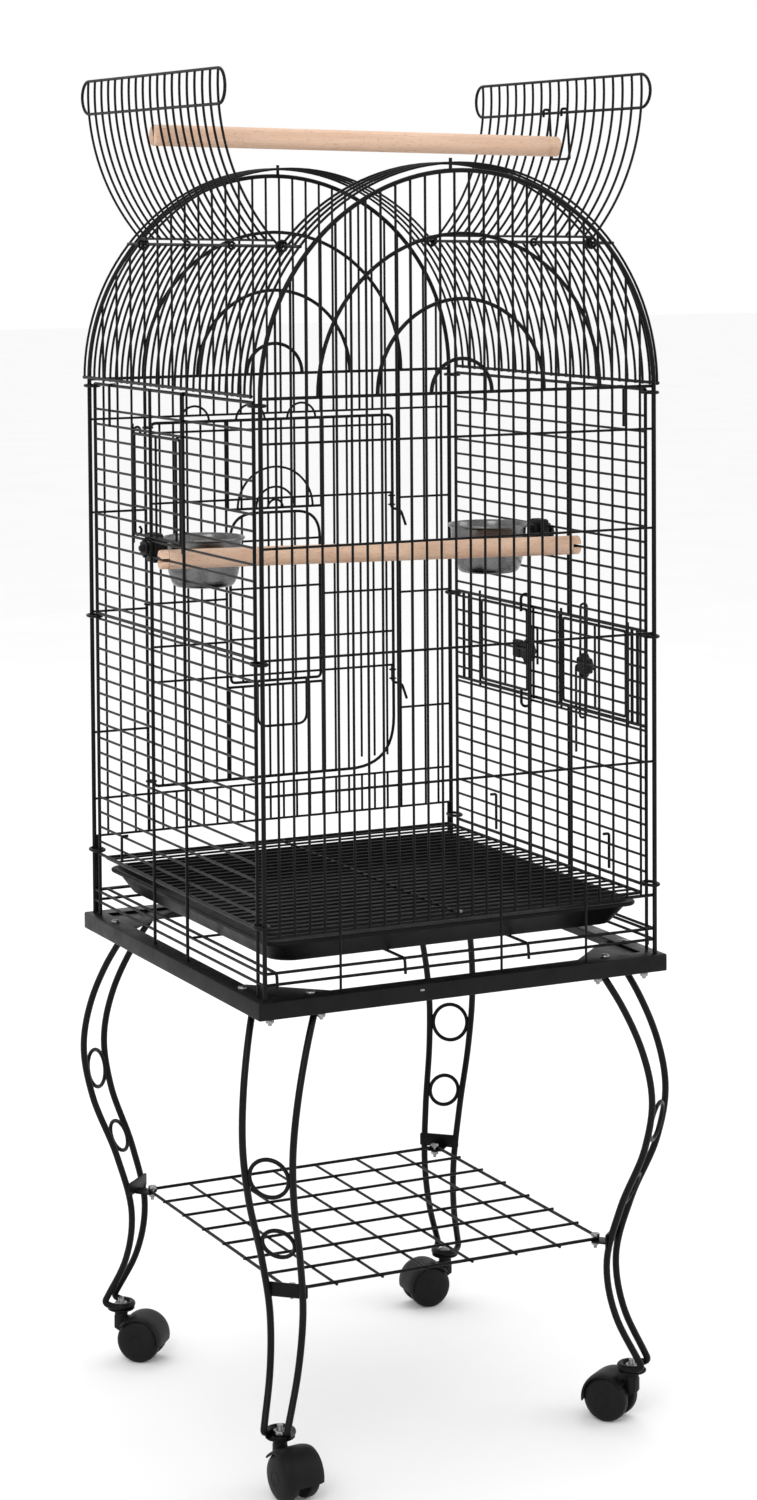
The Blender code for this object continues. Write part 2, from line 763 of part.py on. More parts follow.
def gusset_mesh():
    """The plate that joins a leg's top to the base frame's corner."""
    back = GUSSET_APEX - GUSSET_DEPTH
    half_outline = [
        (GUSSET_APEX, GUSSET_NOSE),
        (back + GUSSET_NOSE, GUSSET_DEPTH),
        (back - GUSSET_TAIL, GUSSET_DEPTH - GUSSET_NOSE),
    ]
    outline = [*half_outline, *[(x, -y) for x, y in reversed(half_outline)]]
    height = Matrix.Translation((0, 0, FRAME_TOP_Z - SHEET - GAP - SHEET / 2))
    return plate_mesh("gusset", outline, SHEET / 2, height)


def shelf_bolt_radius():
    """Distance of a shelf bolt from the cage's axis."""
    return math.hypot(SHELF_HALF_X, SHELF_HALF_Y) - SHELF_BOLT_INSET


def corner_angle(side_x, side_y):
    """Direction of a stand corner, seen from the cage's axis."""
    return math.atan2(side_y * math.sin(LEG_ANGLE), side_x * math.cos(LEG_ANGLE))


def leg_mesh():
    """A whole leg: the bent rod, two rings, a gusset, the shelf's bracket and a foot plate."""
    guide = rod_cutter("leg_rod", leg_rod_points(), LEG_ROD_RADIUS)
    low = (STEM_FROM_AXIS, 0, FOOT_PLATE_Z[0])
    high = (STEM_FROM_AXIS, 0, FOOT_PLATE_Z[1])
    foot = cylinder_data("foot", FOOT_PLATE_RADIUS, low, high, 20)
    for piece in (*shelf_bracket(), gusset_mesh(), foot):
        boolean(guide, cutter(f"leg_{piece.name}", piece), "UNION")
    for z in LEG_RINGS_Z:
        boolean(guide, leg_ring(z), "UNION")
    holes = (
        ("stem", STEM_FROM_AXIS, STEM_RADIUS + GAP, FOOT_PLATE_Z),
        ("bolt", shelf_bolt_radius(), SHELF_BOLT_SHANK + GAP, TAB_Z),
    )
    for name, x, size, (low_z, high_z) in holes:
        hole = cylinder_data(name, size, (x, 0, low_z - SHEET), (x, 0, high_z + SHEET), 12)
        boolean(guide, cutter(f"leg_{name}_hole", hole), "DIFFERENCE")
    mesh = evaluated_mesh(guide)
    mesh.materials.clear()
    return mesh


def shelf_bolt(corner, angle):
    """A bolt through the shelf's corner and the leg's tab, with its nut below."""
    above = SHELF_Z + FINE
    below = TAB_Z[0] - GAP
    head_radius, head_height = SHELF_BOLT_HEAD
    nut_radius, nut_height = SHELF_BOLT_NUT
    profile = (
        (0, above + head_height),
        (head_radius, above + head_height),
        (head_radius, above),
        (SHELF_BOLT_SHANK, above),
        (SHELF_BOLT_SHANK, below),
        (nut_radius, below),
        (nut_radius, below - nut_height),
        (0, below - nut_height),
    )
    bolt = turned(f"{corner}_shelf_bolt", profile, "steel", 8)
    radius = shelf_bolt_radius()
    bolt.location = (radius * math.cos(angle), radius * math.sin(angle), 0)


def legs_and_shelf():
    """Four legs, the wire shelf that ties them and the shelf's four bolts."""
    mesh = leg_mesh()
    shelf_columns = even_bars(-SHELF_HALF_X, SHELF_HALF_X, SHELF_WIRES)
    shelf_rows = even_bars(-SHELF_HALF_Y, SHELF_HALF_Y, SHELF_WIRES)
    lattice("shelf", bands(shelf_columns), bands(shelf_rows), lambda x, y: (x, y, SHELF_Z))
    for corner, side_x, side_y, _ in CASTERS:
        angle = corner_angle(side_x, side_y)
        leg = part(f"{corner}_leg", mesh, "wire_black")
        leg.rotation_euler = (0, 0, angle)
        shelf_bolt(corner, angle)


def stem_profile():
    """Section of a caster's stem with its collar under the foot plate and its nut above."""
    under = FOOT_PLATE_Z[0] - GAP
    above = FOOT_PLATE_Z[1] + GAP
    tip_radius, tip_height = STEM_TIP
    nut_radius, nut_height = STEM_NUT
    collar_radius, collar_height = STEM_COLLAR
    return (
        (0, above + tip_height),
        (tip_radius, above + tip_height),
        (STEM_RADIUS, above + nut_height + 0.001),
        (nut_radius, above + nut_height),
        (nut_radius, above),
        (STEM_RADIUS, above),
        (STEM_RADIUS, under),
        (collar_radius, under),
        (collar_radius, under - collar_height),
        (STEM_RADIUS, under - collar_height),
        (STEM_RADIUS, STEM_FOOT_Z),
        (0, STEM_FOOT_Z),
    )


def wheel_profile():
    """Section of a domed wheel round its bore, outer face first."""
    outer = WHEEL_INNER + WHEEL_WIDTH
    bore = AXLE_RADIUS + RUNNING_GAP
    return (
        (bore, outer),
        (WHEEL_RADIUS * 0.55, outer - 0.0005),
        (WHEEL_RADIUS * 0.90, outer - 0.0035),
        (WHEEL_RADIUS, outer - 0.0080),
        (WHEEL_RADIUS, WHEEL_INNER + 0.0015),
        (WHEEL_RADIUS - 0.0015, WHEEL_INNER),
        (bore, WHEEL_INNER),
        (bore, outer),
    )


def caster_body_mesh():
    """The caster's body: a web between the wheels and a hood over their treads."""
    if "caster_body" in bpy.data.meshes:
        return bpy.data.meshes["caster_body"]
    upright = Matrix.Rotation(math.pi / 2, 4, "X")
    axle = (CASTER_TRAIL, WHEEL_RADIUS)
    web_outline = [
        (BOSS_HALF, BOSS_Z[1]),
        (-BOSS_HALF, BOSS_Z[1]),
        (-BOSS_HALF, BOSS_Z[0]),
        *arc(axle, HUB_RADIUS, math.radians(215), math.radians(325), 4),
        *arc(axle, HOOD_RADIUS - HOOD_WALL / 2, math.radians(-5), math.radians(95), 8),
    ]
    hood_outline = [
        *arc(axle, HOOD_RADIUS, math.radians(-8), math.radians(122), 12),
        *arc(axle, HOOD_RADIUS - HOOD_WALL, math.radians(122), math.radians(-8), 12),
    ]
    web_half = WHEEL_INNER - 2 * GAP
    web = cutter("caster_web", plate_mesh("caster_web", web_outline, web_half, upright))
    hood = plate_mesh("caster_hood", hood_outline, HOOD_HALF_WIDTH, upright)
    boolean(web, cutter("caster_hood", hood), "UNION")
    deep = (0, 0, STEM_FOOT_Z - SHEET)
    bore = cylinder_data("bore", STEM_RADIUS + GAP, deep, (0, 0, BOSS_Z[1] + SHEET), 12)
    boolean(web, cutter("caster_bore", bore), "DIFFERENCE")
    low = (CASTER_TRAIL, -AXLE_HALF, WHEEL_RADIUS)
    high = (CASTER_TRAIL, AXLE_HALF, WHEEL_RADIUS)
    pin_hole = cylinder_data("pin_hole", AXLE_RADIUS + GAP, low, high, 10)
    boolean(web, cutter("caster_pin_hole", pin_hole), "DIFFERENCE")
    mesh = evaluated_mesh(web)
    mesh.name = "caster_body"
    mesh.materials.clear()
    return mesh


def caster(corner, side_x, side_y, trail_degrees):
    """A twin-wheel caster: stem and nut, hooded body, axle and two wheels."""
    angle = corner_angle(side_x, side_y)
    stem_at = Vector((STEM_FROM_AXIS * math.cos(angle), STEM_FROM_AXIS * math.sin(angle), 0))
    swivel = Matrix.Translation(stem_at) @ Matrix.Rotation(math.radians(trail_degrees), 4, "Z")
    axle_at = Matrix.Translation((CASTER_TRAIL, 0, WHEEL_RADIUS))
    across = Matrix.Rotation(-math.pi / 2, 4, "X")
    housing = part(f"{corner}_caster_body", caster_body_mesh(), "plastic_black")
    housing.matrix_world = swivel
    axle = cylinder_data("axle", AXLE_RADIUS, (0, 0, -AXLE_HALF), (0, 0, AXLE_HALF), 10)
    part(f"{corner}_caster_axle", axle, "steel").matrix_world = swivel @ axle_at @ across
    for name, turn in (("left", 0), ("right", math.pi)):
        wheel = turned(f"{corner}_{name}_wheel", wheel_profile(), "plastic_black", WHEEL_SIDES)
        flip = Matrix.Rotation(turn, 4, "X")
        wheel.matrix_world = swivel @ axle_at @ flip @ across
    stem = turned(f"{corner}_caster_stem", stem_profile(), "steel", 10)
    stem.location = stem_at


def frustum_data(name, low_half, high_half, low_z, high_z):
    """A four-sided block whose top and bottom may differ in size."""
    mesh = box_data(name, (-1, -1, low_z), (1, 1, high_z))
    for vert in mesh.vertices:
        half = high_half if vert.co.z > (low_z + high_z) / 2 else low_half
        vert.co.x *= half[0]
        vert.co.y *= half[1]
    return mesh


def tray_and_grate():
    """The pull-out tray on its wire rack, with the wire floor above it."""
    low, high = TRAY_Z
    tray = part("tray", frustum_data("tray", TRAY_FLOOR, TRAY_RIM, low, high), "plastic_black")
    floor = [half - TRAY_WALL for half in TRAY_FLOOR]
    rim = [half - TRAY_WALL * 2 for half in TRAY_RIM]
    hollow = frustum_data("tray_hollow", floor, rim, low + TRAY_WALL, high + TRAY_WALL / 10)
    boolean(tray, cutter("tray_hollow", hollow), "DIFFERENCE")

    half_x, half_y = GRATE_HALF
    columns = even_bars(-half_x + FINE, half_x - FINE, 3)
    rows = even_bars(-half_y + FINE, half_y - FINE, GRATE_WIRES)
    lattice("grate", bands(columns), bands(rows), lambda x, y: (x, y, GRATE_Z))

    reach = HALF_X - FINE / 2 - GAP
    rack_columns = bands([(x, FINE) for x in RACK_X], -reach, reach)
    rack_rows = bands(even_bars(-RACK_END_Y, RACK_END_Y, 2))

    def is_wire(x, y, x_bar, y_bar):
        return y_bar or x_bar

    lattice("tray_rack", rack_columns, rack_rows, lambda x, y: (x, y, RACK_Z), is_wire)


def perch_mesh(name, ends, slot_x, slot_half_y, slot_half_z):
    """A round wooden perch with an open slot in each end, for a cage wire."""
    perch = cutter(name + "_stick", cylinder_data(name, PERCH_RADIUS, ends[0], ends[1], 16))
    for end in ends:
        side = math.copysign(1, end[0])
        near = (min(side * slot_x, side), end[1] - slot_half_y, end[2] - slot_half_z)
        far = (max(side * slot_x, side), end[1] + slot_half_y, end[2] + slot_half_z)
        slot = box_data(f"{name}_slot", near, far)
        boolean(perch, cutter(f"{name}_slot_{side:+.0f}", slot), "DIFFERENCE")
    mesh = evaluated_mesh(perch)
    mesh.materials.clear()
    return mesh


def perches():
    """The perch between the open flaps, its hook, and the perch inside the cage."""
    ends = ((-TOP_PERCH_HALF, 0, TOP_PERCH_Z), (TOP_PERCH_HALF, 0, TOP_PERCH_Z))
    half_slot = PERCH_SLOT / 2
    top = perch_mesh("top_perch", ends, TOP_PERCH_SLOT_X, half_slot, 2 * PERCH_RADIUS)
    part("top_perch", top, "wood")
    inner = perch_mesh(
        "inner_perch", INNER_PERCH_ENDS, INNER_PERCH_SLOT_X, 2 * PERCH_RADIUS, half_slot
    )
    part("inner_perch", inner, "wood")

    rail_x, _, rail_z = flap_place(1)(0, FLAP_LOWER_RAIL)
    hook = []
    over, up = HOOK_BEND
    for x, z in ((-over, -up), (-over, up * 0.4), (0, up), (over, up * 0.4)):
        hook.append((rail_x + x, rail_z + z))
    hook.extend([(HOOK_X, TOP_PERCH_Z), (HOOK_X, TOP_PERCH_Z - HOOK_DROP)])
    near = [(x, HOOK_Y[0], z) for x, z in hook]
    far = [(x, HOOK_Y[1], z) for x, z in reversed(hook)]
    part("perch_hook", rod_data("perch_hook", [*near, *far], HOOK_WIRE, 0), "wire_black")


def bowl_profile():
    """Section of a bowl: up the inside from its middle, over the rim and down the outside."""
    outline = (
        (0.400, -1.00),
        (0.700, -0.88),
        (0.900, -0.62),
        (0.965, -0.30),
        (0.985, -0.06),
    )
    wall = BOWL_WALL
    inner = [(r * BOWL_RADIUS - wall, h * BOWL_DEPTH + wall) for r, h in outline]
    outer = [(r * BOWL_RADIUS, h * BOWL_DEPTH) for r, h in reversed(outline)]
    rim = [
        (BOWL_RADIUS * 0.975, 0),
        (BOWL_RADIUS + BOWL_LIP[0], 0),
        (BOWL_RADIUS + BOWL_LIP[0], -BOWL_LIP[1]),
    ]
    return [(0, wall - BOWL_DEPTH), *inner, *rim, *outer, (0, -BOWL_DEPTH)]


def bowl_clamp(name, side, y):
    """A clamp block inside the wall, with a stud that goes out through it."""
    half_y, half_z = CLAMP_HALF
    near, far = sorted((side * CLAMP_X[0], side * CLAMP_X[1]))
    low = (near, y - half_y, CLAMP_Z - half_z)
    high = (far, y + half_y, CLAMP_Z + half_z)
    clamp = part(f"{name}_bowl_clamp", box_data("clamp", low, high), "plastic_black")
    start = (side * (CLAMP_X[1] - SHEET), y, CLAMP_Z)
    stud = cylinder_data("stud", STUD_RADIUS, start, (side * STUD_END_X, y, CLAMP_Z), 10)
    boolean(clamp, cutter(f"{name}_clamp_stud", stud), "UNION")


def bowl_nut(name, side, y):
    """The lobed nut on a clamp's stud, outside the wall."""
    near, far = sorted((side * NUT_X[0], side * NUT_X[1]))
    mesh = knob_mesh(f"{name}_nut", NUT_RADIUS, near, far, y, CLAMP_Z)
    nut = part(f"{name}_bowl_nut", mesh, "plastic_black")
    start = (side * (NUT_X[0] - SHEET), y, CLAMP_Z)
    end = (side * (NUT_X[1] + SHEET), y, CLAMP_Z)
    hole = cylinder_data("nut_hole", STUD_RADIUS + GAP, start, end, 10)
    boolean(nut, cutter(f"{name}_nut_hole", hole), "DIFFERENCE")


def bowls():
    """Two bowls, each held by a clamp on the wall beside it."""
    for name, side, y, rim_z in BOWLS:
        bowl = turned(f"{name}_bowl", bowl_profile(), "steel", 20)
        bowl.location = (side * BOWL_X, y, rim_z)
        bowl_clamp(name, side, y + CLAMP_SHIFT_Y)
        bowl_nut(name, side, y + CLAMP_SHIFT_Y)


def build():
    """Makes every sub-part."""
    start_scene()
    base_frame()
    legs_and_shelf()
    for corner in CASTERS:
        caster(*corner)
    end_walls()
    side_walls()
    roof()
    flap("left_flap", -1)
    flap("right_flap", 1)
    doors()
    door_latches()
    feeder_knobs()
    tray_and_grate()
    perches()
    bowls()


build()
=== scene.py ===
"""Bird cage on a stand: the visual model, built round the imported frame.

Every new surface is worked out with numpy: round wires are rings carried along paths, turned
pieces are profiles carried round an axis, and pressed or moulded pieces are outlines stacked up.
Lengths are in metres. +Z is up, the plain wall faces -Y and the door wall faces +Y.
"""

import math

import bmesh
import bpy
import numpy as np
from mathutils import Matrix, Vector


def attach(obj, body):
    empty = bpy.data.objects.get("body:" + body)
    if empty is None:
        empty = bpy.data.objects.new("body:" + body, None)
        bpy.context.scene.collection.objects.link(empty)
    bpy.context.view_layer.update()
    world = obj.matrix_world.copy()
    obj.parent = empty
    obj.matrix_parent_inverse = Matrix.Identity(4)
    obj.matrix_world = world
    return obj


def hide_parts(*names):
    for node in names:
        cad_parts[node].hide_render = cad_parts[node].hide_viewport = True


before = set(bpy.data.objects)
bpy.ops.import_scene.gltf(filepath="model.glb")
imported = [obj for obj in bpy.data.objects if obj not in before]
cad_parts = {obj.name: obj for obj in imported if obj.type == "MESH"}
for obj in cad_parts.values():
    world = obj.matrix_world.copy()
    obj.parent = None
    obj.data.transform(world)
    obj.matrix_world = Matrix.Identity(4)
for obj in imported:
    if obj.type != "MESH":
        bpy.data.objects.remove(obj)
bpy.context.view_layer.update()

# Wires
FINE = 0.0013
SKIRT = 0.0015
RAIL = 0.0017
POST = 0.0023
WELD = 0.0012

# Walls
HALF_X = 0.215
HALF_Y = 0.222
SIDE_END_Y = 0.206
RING_Z = 1.054
FOOT_Z = 0.4822
BARS = 27
PITCH = 2 * HALF_X / BARS
SKIRT_Z = (0.496, 0.507)
TRAY_RAIL_Z = 0.541
FRONT_ROWS_Z = (0.6765, 0.806, 0.912, 1.0113)
BACK_ROWS_Z = (0.565, 0.605)
JAMB_X = 0.152
SIDE_TOP_ROW_Z = 1.0235
SIDE_ROWS = 30
SIDE_TOP_RAIL_Z = 1.0500
SIDE_FOOT_RAIL_Z = 0.548
FEEDER_RAILS_Z = (0.7095, 0.806)
LEFT_COLUMNS = (
    (-0.0350, FOOT_Z, SIDE_TOP_RAIL_Z),
    (0.0510, FOOT_Z, SIDE_TOP_RAIL_Z),
)
RIGHT_COLUMNS = (
    (-0.0470, FOOT_Z, FEEDER_RAILS_Z[0]),
    (-0.0470, FEEDER_RAILS_Z[1], SIDE_TOP_RAIL_Z),
    (0.0375, FOOT_Z, SIDE_TOP_RAIL_Z),
)
RIGHT_BAND_Y = (-0.1893, -0.1785, -0.0300, 0.1755, 0.1885)
ARC_RADII = (0.154, 0.091, 0.033)
ARC_WIRE = 0.0020
NUB_X = (-0.0121, 0.0066)

# Roof
ROOF_RADIUS = 0.2225
HINGE_ANGLE = math.radians(40.0)
ROOF_END_Y = 0.2165
ROOF_OPENING_Y = 0.174
FLAP_HALF_Y = 0.170
FLAP_WIRES = 19
FLAP_ARC = 0.186
FLAP_LOWER_RAIL = 0.152
FLAP_ROOT = 0.008
FLAP_OPEN = math.radians(84.0)

# Doors: (low, high) across the wall, then (low, high) in height
MAIN_DOOR = (-0.1473, 0.1452, 0.6105, 1.0060)
INNER_DOOR = (-0.0555, 0.0555, 0.7160, 0.9040)
INNER_OPENING = (-0.0582, 0.0582, 0.7128, 0.9072)
LEFT_FEEDER = (-0.0277, 0.0980, 0.8986, 1.0053)
REAR_FEEDER = (0.0405, 0.1480, 0.7125, 0.8030)
FRONT_FEEDER = (-0.1680, -0.0345, 0.7125, 0.8030)

TRAY_RIM = (0.2060, 0.2095)
TRAY_FLOOR = (0.1905, 0.1945)
TRAY_Z = (0.5095, 0.5335)
GRATE_HALF = (0.2080, 0.2130)
GRATE_Z = 0.5425
GRATE_GAPS = 27
RACK_X = (-0.204, -0.068, 0.068, 0.204)
RACK_CROSS_Y = (-0.045, 0.2145)
RACK_Z = 0.5079

# Stand
FRAME_HALF = (0.2248, 0.2305)
FRAME_Z = (0.4650, 0.4820)
FRAME_FLANGE = 0.020
FRAME_BEND = 0.0022
FRAME_SCREWS = ((0.163, 0.2125), (0.2138, 0.166))
FRAME_BOLTS_X = (-0.2104, -0.1565, 0.1485, 0.2020)
FRAME_BOLTS_Y = 0.2225
FRAME_SLOT_X = -0.0520
SHEET = 0.0020
LEG_ANGLE = math.radians(46.5)
LEG_ROD = 0.0035
LEG_PATH = (
    (0.4772, 0.2557),
    (0.4310, 0.2855),
    (0.3900, 0.3040),
    (0.3400, 0.3138),
    (0.2890, 0.3055),
    (0.2250, 0.2790),
    (0.1620, 0.2635),
    (0.1100, 0.2730),
    (0.0650, 0.2970),
)
LEG_SPREAD = (0.0320, 0.0120)
STEM_FROM_AXIS = 0.2850
FOOT_ROD_Z = 0.0577
FOOT_PLATE_Z = (0.0522, 0.0547)
LEG_RINGS_Z = (0.312, 0.241)
CORNERS = (
    ("front_left", -1, -1, -83.0),
    ("front_right", 1, -1, 124.0),
    ("rear_left", -1, 1, -42.0),
    ("rear_right", 1, 1, 176.0),
)
SHELF_HALF = (0.1745, 0.1835)
SHELF_Z = 0.1855
WHEEL_RADIUS = 0.0235
WHEEL_INNER = 0.0062
WHEEL_WIDTH = 0.0145
AXLE_RADIUS = 0.0025
HOOD_RADIUS = 0.0262
CASTER_TRAIL = 0.024

# Fittings: places along the wall, then heights
CLIPS_Z = (1.0475, 0.8025, 0.5515)
CLIP_RADIUS = 0.0112
LEFT_PRONGS = (
    (0.157, 1.051, 1.007),
    (-0.037, 1.051, 1.007),
    (0.135, 0.579, 0.553),
)
RIGHT_PRONGS = (
    (0.140, 1.051, 1.010),
    (-0.158, 1.051, 1.010),
    (0.120, 0.589, 0.550),
    (-0.126, 0.587, 0.551),
)
LONG_BARS = (5, 16, 22)
FLAP_EYES_Y = (-0.170, -0.0567, 0.0567, 0.170)
FLAP_KNOTS_Y = (-0.1762, 0.1762)
LATCH_PLACE = (0.144, 0.2262)
LATCHES = (("lower_door_latch", 0.705), ("upper_door_latch", 0.900))
CATCH_X = 0.2185
CATCH_WIRE = 0.0013
KNOB_FACE_X = 0.2172
KNOB_Z = 0.7548
KNOBS = (
    ("rear_knob", "rear_feeder_knob", 0.0520),
    ("front_knob", "front_feeder_knob", -0.0715),
)

# Perches and bowls
TOP_PERCH_RADIUS = 0.0107
INNER_PERCH_RADIUS = 0.0098
TOP_PERCH_ENDS = ((-0.2303, 0.0, 1.3070), (0.2303, 0.0, 1.2970))
INNER_PERCH_ENDS = ((-0.2200, 0.0195, 0.8804), (0.2200, -0.0615, 0.8804))
HOOK_DROP = 0.0130
BOWL_RADIUS = 0.0405
BOWL_DEPTH = 0.0515
BOWLS = (("left", -1, 0.070, 0.8965), ("right", 1, 0.008, 0.9010))
BOWL_X = 0.150
CLAMP_BACK = 0.008
CLAMP_Z = 0.8884

# Studio
FLOOR_HALF = 30.0
CAMERA_AZIMUTH = math.radians(-26.158)
CAMERA_PITCH = math.radians(2.989)
CAMERA_ROLL = math.radians(-0.3725)
CAMERA_DISTANCE = 3.3459
CAMERA_ASIDE = 0.0163
CAMERA_LENS = 77.95
CAMERA_SENSOR = 36.0
CAMERA_SHIFT_Y = -0.2451
CAMERA_REACH = 200.0
LAMPS = (
    ("key", (-2.6, -3.2, 3.4), (0, 0, 0.8), 2.0, 60),
    ("fill", (3.4, -1.8, 2.0), (0, 0, 0.7), 2.2, 25),
    ("above", (0.3, 1.2, 4.2), (0, 0, 0.6), 2.6, 30),
)

# Surfaces
OBLIQUE = (0.5, 0.7, 0.3)
WELD_DISTANCE = 0.000002
FACING_FRONT = Matrix.Rotation(math.pi / 2, 4, "X")


# ---------------------------------------------------------------- surfaces


def unit(vectors):
    """Vectors divided by their own lengths."""
    return vectors / np.linalg.norm(vectors, axis=-1, keepdims=True)


def grid_quads(rows, columns, rows_close=False, columns_close=True):
    """The four corners of every cell of a grid of points, row by row."""
    i = np.arange(rows if rows_close else rows - 1)[:, None]
    j = np.arange(columns if columns_close else columns - 1)[None, :]
    below = (i + 1) % rows
    beside = (j + 1) % columns
    cells = [i * columns + j, i * columns + beside, below * columns + beside, below * columns + j]
    return np.stack(cells, -1).reshape(-1, 4)


def merged(*shapes):
    """Several shapes as one: points follow each other and face numbers move up to match."""
    points = []
    faces = []
    count = 0
    for shape_points, shape_faces in shapes:
        points.append(shape_points)
        faces.extend([tuple(count + corner for corner in face) for face in shape_faces])
        count += len(shape_points)
    return np.concatenate(points), faces


def tubes(paths, radius, sides=8, closed=False):
    """Round wires along paths of shape (wires, points, 3), or along a single path.

    A ring is point + radius (cos t * side + sin t * up): side is a slanting direction made square
    to the path, and up is the path's direction crossed with side.
    """
    paths = np.asarray(paths, float)
    paths = paths.reshape(-1, *paths.shape[-2:])
    wires, count, _ = paths.shape
    if closed:
        ahead = unit(np.roll(paths, -1, 1) - paths)
        behind = np.roll(ahead, 1, 1)
    else:
        steps = unit(np.diff(paths, axis=1))
        ahead = np.concatenate([steps, steps[:, -1:]], 1)
        behind = np.concatenate([steps[:, :1], steps], 1)
    along = unit(ahead + behind)
    slant = np.broadcast_to(np.array(OBLIQUE), along.shape)
    side = unit(slant - along * (slant * along).sum(-1, keepdims=True))
    up = np.cross(along, side)
    t = (np.arange(sides) * 2 * math.pi / sides)[:, None]
    ring = np.cos(t) * side[:, :, None] + np.sin(t) * up[:, :, None]
    points = (paths[:, :, None] + radius * ring).reshape(-1, 3)
    one = grid_quads(count, sides, rows_close=closed)
    first = np.arange(wires)[:, None, None] * count * sides
    faces = (one[None] + first).reshape(-1, 4).tolist()
    if not closed:
        ends = np.arange(sides)[None] + first[:, :, 0]
        faces.extend(ends[:, ::-1].tolist())
        faces.extend((ends + (count - 1) * sides).tolist())
    return points, faces


def straight(starts, ends, radius, sides=8):
    """Straight round wires from each start to its end."""
    starts, ends = np.broadcast_arrays(np.asarray(starts, float), np.asarray(ends, float))
    return tubes(np.stack([starts, ends], -2), radius, sides)


def lines(fixed, low, high, axis, radius, sides=8):
    """Straight wires along an axis at each fixed point, from low to high on that axis."""
    starts = np.array(fixed, float)
    ends = starts.copy()
    starts[:, axis] = low
    ends[:, axis] = high
    return straight(starts, ends, radius, sides)


def columns(xs, y, z_low, z_high, radius=FINE):
    """Upright wires of a wall that faces Y."""
    xs = np.atleast_1d(np.asarray(xs, float))
    low = np.stack([xs, np.full(xs.shape, y), np.broadcast_to(z_low, xs.shape)], -1)
    high = np.stack([xs, np.full(xs.shape, y), np.broadcast_to(z_high, xs.shape)], -1)
    return straight(low, high, radius)


def rounded(corners, bend, steps=6, closed=False):
    """A route through corners, each turned by a quadratic curve that starts bend before it."""
    corners = np.asarray(corners, float)
    before = np.roll(corners, 1, 0)
    after = np.roll(corners, -1, 0)
    if not closed:
        corners, before, after = corners[1:-1], before[1:-1], after[1:-1]
    into = corners + unit(before - corners) * bend
    out = corners + unit(after - corners) * bend
    t = np.linspace(0, 1, steps + 1)[None, :, None]
    turn = (1 - t) ** 2 * into[:, None] + 2 * t * (1 - t) * corners[:, None] + t**2 * out[:, None]
    turn = turn.reshape(-1, 3)
    if closed:
        return turn
    return np.concatenate([before[:1], turn, after[-1:]])


def arc(centre, radius, start, end, steps, along=(1, 0, 0), up=(0, 0, 1)):
    """Points of centre + radius (cos a * along + sin a * up)."""
    a = np.linspace(start, end, steps)[:, None]
    return np.asarray(centre, float) + radius * (np.cos(a) * np.array(along) + np.sin(a) * np.array(up))


def lathe(profile, steps=48):
    """A profile of (radius, height) carried round Z: (r cos t, r sin t, h)."""
    profile = np.asarray(profile, float)
    t = np.arange(steps) * 2 * math.pi / steps
    radius = profile[:, :1]
    height = np.broadcast_to(profile[:, 1:], (len(profile), steps))
    points = np.stack([radius * np.cos(t), radius * np.sin(t), height], -1)
    closes = bool(profile[0, 0] > 0)
    return points.reshape(-1, 3), grid_quads(len(profile), steps, rows_close=closes).tolist()


def quarter(steps=4):
    """Rounding of an edge, as shares of its radius: how far in, and how far along."""
    a = np.linspace(0, math.pi / 2, steps)
    return 1 - np.sin(a), 1 - np.cos(a)


def normals_of(outline):
    """Outward normals of a closed outline that runs anticlockwise, lengthened at its corners."""
    ahead = unit(np.roll(outline, -1, 0) - outline)
    behind = np.roll(ahead, 1, 0)
    ahead = np.stack([ahead[:, 1], -ahead[:, 0]], -1)
    behind = np.stack([behind[:, 1], -behind[:, 0]], -1)
    middle = unit(ahead + behind)
    return middle / np.maximum((middle * ahead).sum(-1, keepdims=True), 0.5)


def slab(outline, low, high, edge):
    """An outline with thickness and rounded edges: inset by edge (1 - sin a) at each end."""
    outline = np.asarray(outline, float)
    inset, rise = quarter()
    inset = np.concatenate([inset, inset[::-1]]) * edge
    z = np.concatenate([low + rise * edge, high - rise[::-1] * edge])
    flat = outline[None] - normals_of(outline)[None] * inset[:, None, None]
    height = np.broadcast_to(z[:, None, None], (*flat.shape[:2], 1))
    points = np.concatenate([flat, height], -1).reshape(-1, 3)
    count = len(outline)
    faces = grid_quads(len(z), count).tolist()
    faces.append(list(range(count))[::-1])
    faces.append(list(range(count * (len(z) - 1), count * len(z))))
    return points, faces


def rounded_rectangle(half_x, half_y, radius, steps=6):
    """An anticlockwise outline: four quarter circles, each about its own corner's centre."""
    a = (np.arange(4)[:, None] + np.linspace(0, 1, steps)[None]) * math.pi / 2
    sign_x = np.array([1, -1, -1, 1])[:, None]
    sign_y = np.array([1, 1, -1, -1])[:, None]
    x = sign_x * (half_x - radius) + radius * np.cos(a)
    y = sign_y * (half_y - radius) + radius * np.sin(a)
    return np.stack([x, y], -1).reshape(-1, 2)


def stacked(levels, steps=8):
    """Rounded rectangles (half_x, half_y, corner radius, z) joined one above the other."""
    outlines = [rounded_rectangle(*level[:3], steps) for level in levels]
    height = [np.full((len(outline), 1), level[3]) for outline, level in zip(outlines, levels)]
    points = np.concatenate([np.concatenate(pair, -1) for pair in zip(outlines, height)])
    count = len(outlines[0])
    faces = grid_quads(len(levels), count).tolist()
    faces.append(list(range(count))[::-1])
    faces.append(list(range(count * (len(levels) - 1), count * len(levels))))
    return points, faces


def placed(shape, matrix):
    """A shape moved by a matrix: the rotation times each point, plus the shift."""
    matrix = np.array(matrix)
    points, faces = shape
    return points @ matrix[:3, :3].T + matrix[:3, 3], faces


